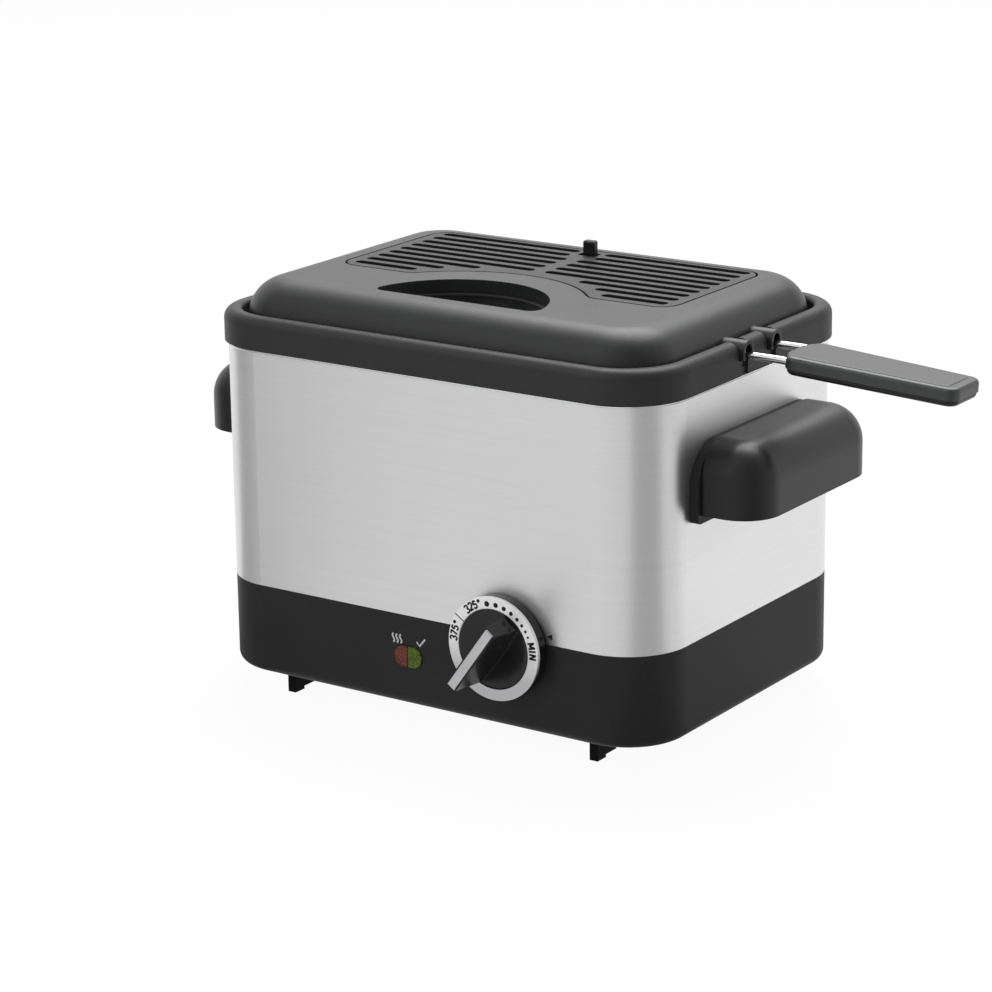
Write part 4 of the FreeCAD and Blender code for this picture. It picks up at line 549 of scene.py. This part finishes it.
def lamp_marks():
    """Heat waves over one lamp and a tick over the other."""
    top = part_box("lens_red")[1].z + SIGN_RISE
    warm = on_front(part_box("lens_red")[0].x + WAVE_INSET, top)
    ready = on_front(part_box("lens_green")[1].x - TICK_INSET, top)
    parts = [t / WAVE_STEPS for t in range(WAVE_STEPS + 1)]
    wave = [(WAVE_SWING * math.sin(2 * math.pi * t), WAVE_HEIGHT * (t - 0.5)) for t in parts]
    bm = bmesh.new()
    for i in (-1, 0, 1):
        line = [(x + i * WAVE_SPACING, y) for x, y in wave]
        add_plate(bm, ribbon(line, SIGN_STROKE), warm)
    add_plate(bm, ribbon(TICK, SIGN_STROKE), ready)
    finish_piece(mesh_of(bm, "lamp_marks"), GREY_INK, "fryer")


# woven basket

WEAVE_PITCH = 5.6 * MM
WEAVE_RADIUS = 0.42 * MM
WEAVE_STEPS = 4
WEAVE_STEP = WEAVE_PITCH / WEAVE_STEPS
WEAVE_MARGIN = 1.5 * MM
BASKET_CORNER = 8.2 * MM
BASKET_FOOT = 4 * MM


def trough(reach, low, high):
    """Points, normals and run of a wire down a wall, over the floor and up, evenly stepped."""
    flat = reach - BASKET_FOOT
    bend = BASKET_FOOT * math.pi / 2
    rise = high - low - BASKET_FOOT
    half = []
    for i in range(int((flat + bend + rise) / WEAVE_STEP) + 1):
        s = i * WEAVE_STEP
        if s < flat:
            half.append((s, low, 0.0, -1.0, s))
        elif s < flat + bend:
            turn = (s - flat) / BASKET_FOOT
            half.append((flat + BASKET_FOOT * math.sin(turn), low + BASKET_FOOT * (1 - math.cos(turn)),
                         math.sin(turn), -math.cos(turn), s))
        else:
            half.append((reach, low + BASKET_FOOT + s - flat - bend, 1.0, 0.0, s))
    return [(-u, z, -nu, nz, -s) for u, z, nu, nz, s in half[:0:-1]] + half


def ring_points(half_x, half_y, level):
    """Points, normals and run of a level wire round the basket's walls."""
    corner = BASKET_CORNER
    bend = corner * math.pi / 2
    legs = [(half_x - corner) * 2, bend, (half_y - corner) * 2, bend] * 2
    count = 2 * WEAVE_STEPS * round(sum(legs) / (2 * WEAVE_PITCH))
    points = []
    for i in range(count):
        s = sum(legs) * i / count
        leg = 0
        while s > legs[leg]:
            s -= legs[leg]
            leg += 1
        turn = Matrix.Rotation(math.pi / 2 * (leg // 2), 2)
        long_side, short_side = (half_x, half_y) if leg // 2 % 2 == 0 else (half_y, half_x)
        if leg % 2 == 0:
            normal = Vector((0, -1))
            spot = Vector((s - long_side + corner, -short_side))
        else:
            normal = Vector((math.sin(s / corner), -math.cos(s / corner)))
            spot = Vector((long_side - corner, corner - short_side)) + normal * corner
        points.append((Vector((*(turn @ spot), level)), Vector((*(turn @ normal), 0)), i * WEAVE_STEP))
    return points


def wire_basket():
    """The basket's woven wire: two ways of troughs over the floor and level wires round the walls."""
    low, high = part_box("basket_mesh")
    inset = 2 * WEAVE_RADIUS
    half_x = high.x - inset
    half_y = high.y - inset
    floor = low.z + inset
    bm = bmesh.new()

    def weave(s, index):
        """How far a wire swings over or under the wires that it crosses."""
        return WEAVE_RADIUS * math.cos(math.pi * (s / WEAVE_PITCH + index))

    def wall(across, half, other):
        """How far the wall stands out beside a wire that runs near a rounded corner."""
        past = max(0.0, abs(across) - half + BASKET_CORNER)
        return other - BASKET_CORNER + math.sqrt(BASKET_CORNER ** 2 - past ** 2)

    for along_x, half, other in ((True, half_y, half_x), (False, half_x, half_y)):
        count = int((half - WEAVE_MARGIN) / WEAVE_PITCH)
        for i in range(-count, count + 1):
            across = i * WEAVE_PITCH
            points = []
            for u, z, nu, nz, s in trough(wall(across, half, other), floor, high.z):
                lift = weave(s, i if along_x else i + 1)
                spot = (u + nu * lift, across) if along_x else (across, u + nu * lift)
                points.append(Vector((*spot, z + nz * lift)))
            sweep(bm, points, WEAVE_RADIUS)
    levels = int((high.z - floor - BASKET_FOOT) / WEAVE_PITCH) + 1
    for k in range(levels):
        ring = ring_points(half_x, half_y, high.z - WEAVE_RADIUS - k * WEAVE_PITCH)
        sweep(bm, [spot + normal * weave(s, k) for spot, normal, s in ring], WEAVE_RADIUS, closed=True)
    mesh = mesh_of(bm, "wire_basket")
    piece = finish_piece(mesh, LOOKS["mesh_steel"], "basket", smooth=True)
    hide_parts("basket_mesh")


# filter mat

MAT_VOXEL = 1.3 * MM
MAT_SOFTENING = 0.5
MAT_SOFTENING_ROUNDS = 8
MAT_BOND = 11 * MM
MAT_DIMPLE = 1.1 * MM
MAT_DIMPLE_FALL = 30
MAT_NAP = 0.25 * MM
MAT_NAP_SIZE = 6 * MM
MAT_NAP_OCTAVES = 3


def filter_mat():
    """A soft mat of charcoal fibre: rounded edges, bonded in a grid of dimples, with an uneven nap."""
    low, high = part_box("filter_pad")
    block = add_object("filter_block", frame["nodes"]["filter_pad"].data.copy())
    remesh = block.modifiers.new("remesh", "REMESH")
    remesh.mode = "VOXEL"
    remesh.voxel_size = MAT_VOXEL
    soften = block.modifiers.new("soften", "SMOOTH")
    soften.factor = MAT_SOFTENING
    soften.iterations = MAT_SOFTENING_ROUNDS
    mesh = bpy.data.meshes.new_from_object(block.evaluated_get(bpy.context.evaluated_depsgraph_get()))
    old = block.data
    bpy.data.objects.remove(block)
    bpy.data.meshes.remove(old)
    mesh.name = "filter_mat"
    middle = (low.z + high.z) / 2
    for vertex in mesh.vertices:
        spot = vertex.co
        stagger = 0.5 * (spot.x // MAT_BOND % 2)
        u = (spot.x / MAT_BOND) % 1 - 0.5
        v = (spot.y / MAT_BOND + stagger) % 1 - 0.5
        dimple = MAT_DIMPLE * math.exp(-MAT_DIMPLE_FALL * (u * u + v * v))
        nap = MAT_NAP * turbulence(spot / MAT_NAP_SIZE, MAT_NAP_OCTAVES, False)
        spot.z += (middle - spot.z) / (high.z - middle) * (dimple + abs(nap))
    piece = finish_piece(mesh, LOOKS["filter_fibre"], "lid", smooth=True)
    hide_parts("filter_pad")


# thin trim: the grip's panel, the bead under the rim, and dark sheets of painted shade in its slots

GRIP_SLOPE = math.radians(3.5)
PANEL_START = 8.5 * MM
PANEL_END = 75.5 * MM
PANEL_HALF_START = 12.2 * MM
PANEL_HALF_END = 9.9 * MM
PANEL_CORNER = 3.2 * MM
PANEL_SINK = 0.1 * MM
PANEL_LIFT = 0.35 * MM
PANEL_EDGE = 0.3 * MM
BEAD_RADIUS = 0.5 * MM
BEAD_DROP = 0.75 * MM
BEAD_PROUD = 0.15 * MM
BEAD_CORNER_STEPS = 16
BODY_CORNER = 28 * MM
# sizes of the dark sheets that paint shade into the rim's wire slots
SHADE_SHEET_WIDTH = 5.3 * MM
SHADE_SHEET_THICKNESS = 0.4 * MM
SHADE_SHEET_CORNER = 0.5 * MM
HANDLE_WIRE_RADIUS = 1.6 * MM


def grip_panel():
    """The flat raised panel on top of the grip, inside a fine border."""
    low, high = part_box("grip_top")
    on_grip = Matrix.Translation((low.x, 0, high.z)) @ Matrix.Rotation(GRIP_SLOPE, 4, "Y")
    profile = ((0, -PANEL_SINK), (0, PANEL_LIFT - PANEL_EDGE / 2), (PANEL_EDGE, PANEL_LIFT))
    bm = bmesh.new()
    loops = []
    for inset, lift in profile:
        start = PANEL_START + inset
        end = PANEL_END - inset
        wide = PANEL_HALF_START - inset
        slim = PANEL_HALF_END - inset
        outline = rounded([(start, -wide), (end, -slim), (end, slim), (start, wide)], PANEL_CORNER)
        loops.append([bm.verts.new(on_grip @ Vector((x, y, lift))) for x, y in outline])
    for first, second in zip(loops, loops[1:]):
        bridge(bm, first, second)
    bm.faces.new(loops[-1])
    bm.faces.new(loops[0][::-1])
    finish_piece(mesh_of(bm, "grip_panel"), GRIP_LOOK, "basket")


def edge_bead():
    """The rolled upper edge of the steel sleeve, a fine bead just under the rim."""
    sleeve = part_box("housing_wrap")[1]
    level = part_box("top_bezel")[0].z - BEAD_DROP
    corners = rectangle(sleeve.x + BEAD_PROUD, sleeve.y + BEAD_PROUD)
    outline = rounded(corners, BODY_CORNER + BEAD_PROUD, BEAD_CORNER_STEPS)
    bm = bmesh.new()
    sweep(bm, [Vector((x, y, level)) for x, y in outline], BEAD_RADIUS, closed=True)
    mesh = mesh_of(bm, "edge_bead")
    finish_piece(mesh, LOOKS["bright_chrome"], "fryer", smooth=True)


def slot_shade_sheets():
    """Dark sheets of painted shade in the rim's two wire slots: they stand in for the shadow there and cover
    the sleeve's tucked-in edge.
    """
    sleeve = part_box("housing_wrap")[1]
    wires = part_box("handle_wire")[1]
    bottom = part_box("top_bezel")[0].z
    rise = (sleeve.z - bottom) / 2
    outline = rounded(rectangle(SHADE_SHEET_WIDTH / 2, rise), SHADE_SHEET_CORNER)
    bm = bmesh.new()
    for side in (-1, 1):
        spot = (sleeve.x + SHADE_SHEET_THICKNESS, side * (wires.y - HANDLE_WIRE_RADIUS), bottom + rise)
        add_plate(bm, outline, Matrix.Translation(spot) @ FACING_RIGHT, SHADE_SHEET_THICKNESS)
    # the sheets take the rim's dark plastic as painted shade, where the slots stand in shadow
    finish_piece(mesh_of(bm, "slot_shade_sheets"), LOOKS["bezel_plastic"], "fryer")


# stage, light and camera; lengths are in metres, powers in watts, a card's angles in degrees

SKY_LIGHT = 0.3
FLOOR_SIZE = 12.0
FLOOR_GLOW = 0.95
LAMP_TARGET = Vector((0, 0, 0.1))
# name, spot, size and power
LAMPS = (
    ("key", Vector((-1.1, -1.5, 1.7)), 1.4, 18),
    ("side", Vector((1.7, 0.4, 1.1)), 1.0, 2),
    ("top", Vector((-0.3, 0.9, 1.8)), 1.6, 50),
)
# name, azimuth, span and level
CARDS = (
    ("side_card", 94, 28, 0.78),
    ("corner_flag", 62, 36, 0.44),
    ("front_card", 2, 84, 0.76),
    ("left_card", -58, 36, 0.42),
)
CARD_FOOT = 0.12
CARD_DISTANCE = 0.38
CARD_HEIGHT = 1.2
CARD_LIFT = 1 * MM
CARD_STEPS = 12
CAMERA_SPOT = Vector((0.787442, -1.164926, 0.498008))
CAMERA_AZIMUTH = math.radians(34.654)
CAMERA_ELEVATION = math.radians(16.364)
CAMERA_ROLL = math.radians(-0.778)
CAMERA_LENS = 120.81
CAMERA_SENSOR = 36.0


def looked_at(owner):
    """One where the camera, a reflection or a refraction looks, and nought for lighting."""
    path = node(owner, "LightPath").outputs
    seen = combine(owner, "MAXIMUM", path["Is Camera Ray"], path["Is Glossy Ray"])
    return combine(owner, "MAXIMUM", seen, path["Is Transmission Ray"])


def make_world():
    """White where it is looked at, and a dimmer sky for lighting."""
    world = bpy.data.worlds.new("studio")
    world.use_nodes = True
    scene.world = world
    back = world.node_tree.nodes["Background"]
    strength = node(world, "MapRange", {"Value": looked_at(world), "To Min": SKY_LIGHT, "To Max": 1.0})
    give(world, back.inputs["Color"], (1, 1, 1, 1))
    give(world, back.inputs["Strength"], strength.outputs["Result"])


def make_floor():
    """A pale floor that meets the white background and keeps the shadow."""
    bm = bmesh.new()
    bmesh.ops.create_grid(bm, x_segments=1, y_segments=1, size=FLOOR_SIZE)
    floor = add_object("floor", mesh_of(bm, "floor"))
    look = new_look("pale floor")
    surface(look, Base_Color=(0.9, 0.9, 0.9, 1), Roughness=0.9, Specular_IOR_Level=0.1)
    glow = node(look, "Emission")
    amount = combine(look, "MULTIPLY", looked_at(look), FLOOR_GLOW)
    blend = node(look, "MixShader", {0: amount, 1: shader_of(look).outputs[0], 2: glow.outputs[0]})
    give(look, look.node_tree.nodes["Material Output"].inputs["Surface"], blend.outputs[0])
    floor.data.materials.append(look)


def soft_box(name, spot, size, power):
    """A square lamp that faces the body's middle."""
    light = bpy.data.lights.new(name, "AREA")
    light.size = size
    light.energy = power
    lamp = add_object(name, light)
    lamp.location = spot
    lamp.rotation_euler = (LAMP_TARGET - spot).to_track_quat("-Z", "Y").to_euler()


def reflection_card(name, azimuth, span, level):
    """A card that only reflections see, in along the floor and up; azimuth is from the front to the right."""
    profile = [(CARD_FOOT, CARD_LIFT), (CARD_DISTANCE, CARD_LIFT), (CARD_DISTANCE, CARD_HEIGHT)]
    bm = bmesh.new()
    rows = []
    for i in range(CARD_STEPS + 1):
        angle = math.radians(azimuth + span * (i / CARD_STEPS - 0.5))
        rows.append([bm.verts.new((r * math.sin(angle), -r * math.cos(angle), z)) for r, z in profile])
    for first, second in zip(rows, rows[1:]):
        bridge(bm, second, first, closed=False)
    card = add_object(name, mesh_of(bm, name))
    look = new_look(name)
    surface(look, Base_Color=(0, 0, 0, 1), Roughness=1.0, Specular_IOR_Level=0.0,
            Emission_Color=(1, 1, 1, 1), Emission_Strength=level)
    card.data.materials.append(look)
    card.visible_camera = False
    card.visible_diffuse = False
    card.visible_shadow = False
    card.visible_transmission = False


def make_camera():
    """A camera at the photograph's viewing angle."""
    flat = math.cos(CAMERA_ELEVATION)
    back = Vector((math.sin(CAMERA_AZIMUTH) * flat, -math.cos(CAMERA_AZIMUTH) * flat,
                   math.sin(CAMERA_ELEVATION)))
    right = (-back).cross(Vector((0, 0, 1))).normalized()
    up = right.cross(-back)
    level = math.cos(CAMERA_ROLL)
    tilt = math.sin(CAMERA_ROLL)
    turned = Matrix((level * right + tilt * up, level * up - tilt * right, back)).transposed()
    data = bpy.data.cameras.new("camera")
    data.lens = CAMERA_LENS
    data.sensor_width = CAMERA_SENSOR
    camera = add_object("camera", data)
    camera.matrix_world = Matrix.Translation(CAMERA_SPOT) @ turned.to_4x4()
    scene.camera = camera


dress_nodes()
dial_marks()
pointer_mark()
lamp_marks()
wire_basket()
filter_mat()
grip_panel()
edge_bead()
slot_shade_sheets()
make_world()
make_floor()
for lamp in LAMPS:
    soft_box(*lamp)
for card in CARDS:
    reflection_card(*card)
make_camera()
scene.view_settings.view_transform = "Standard"
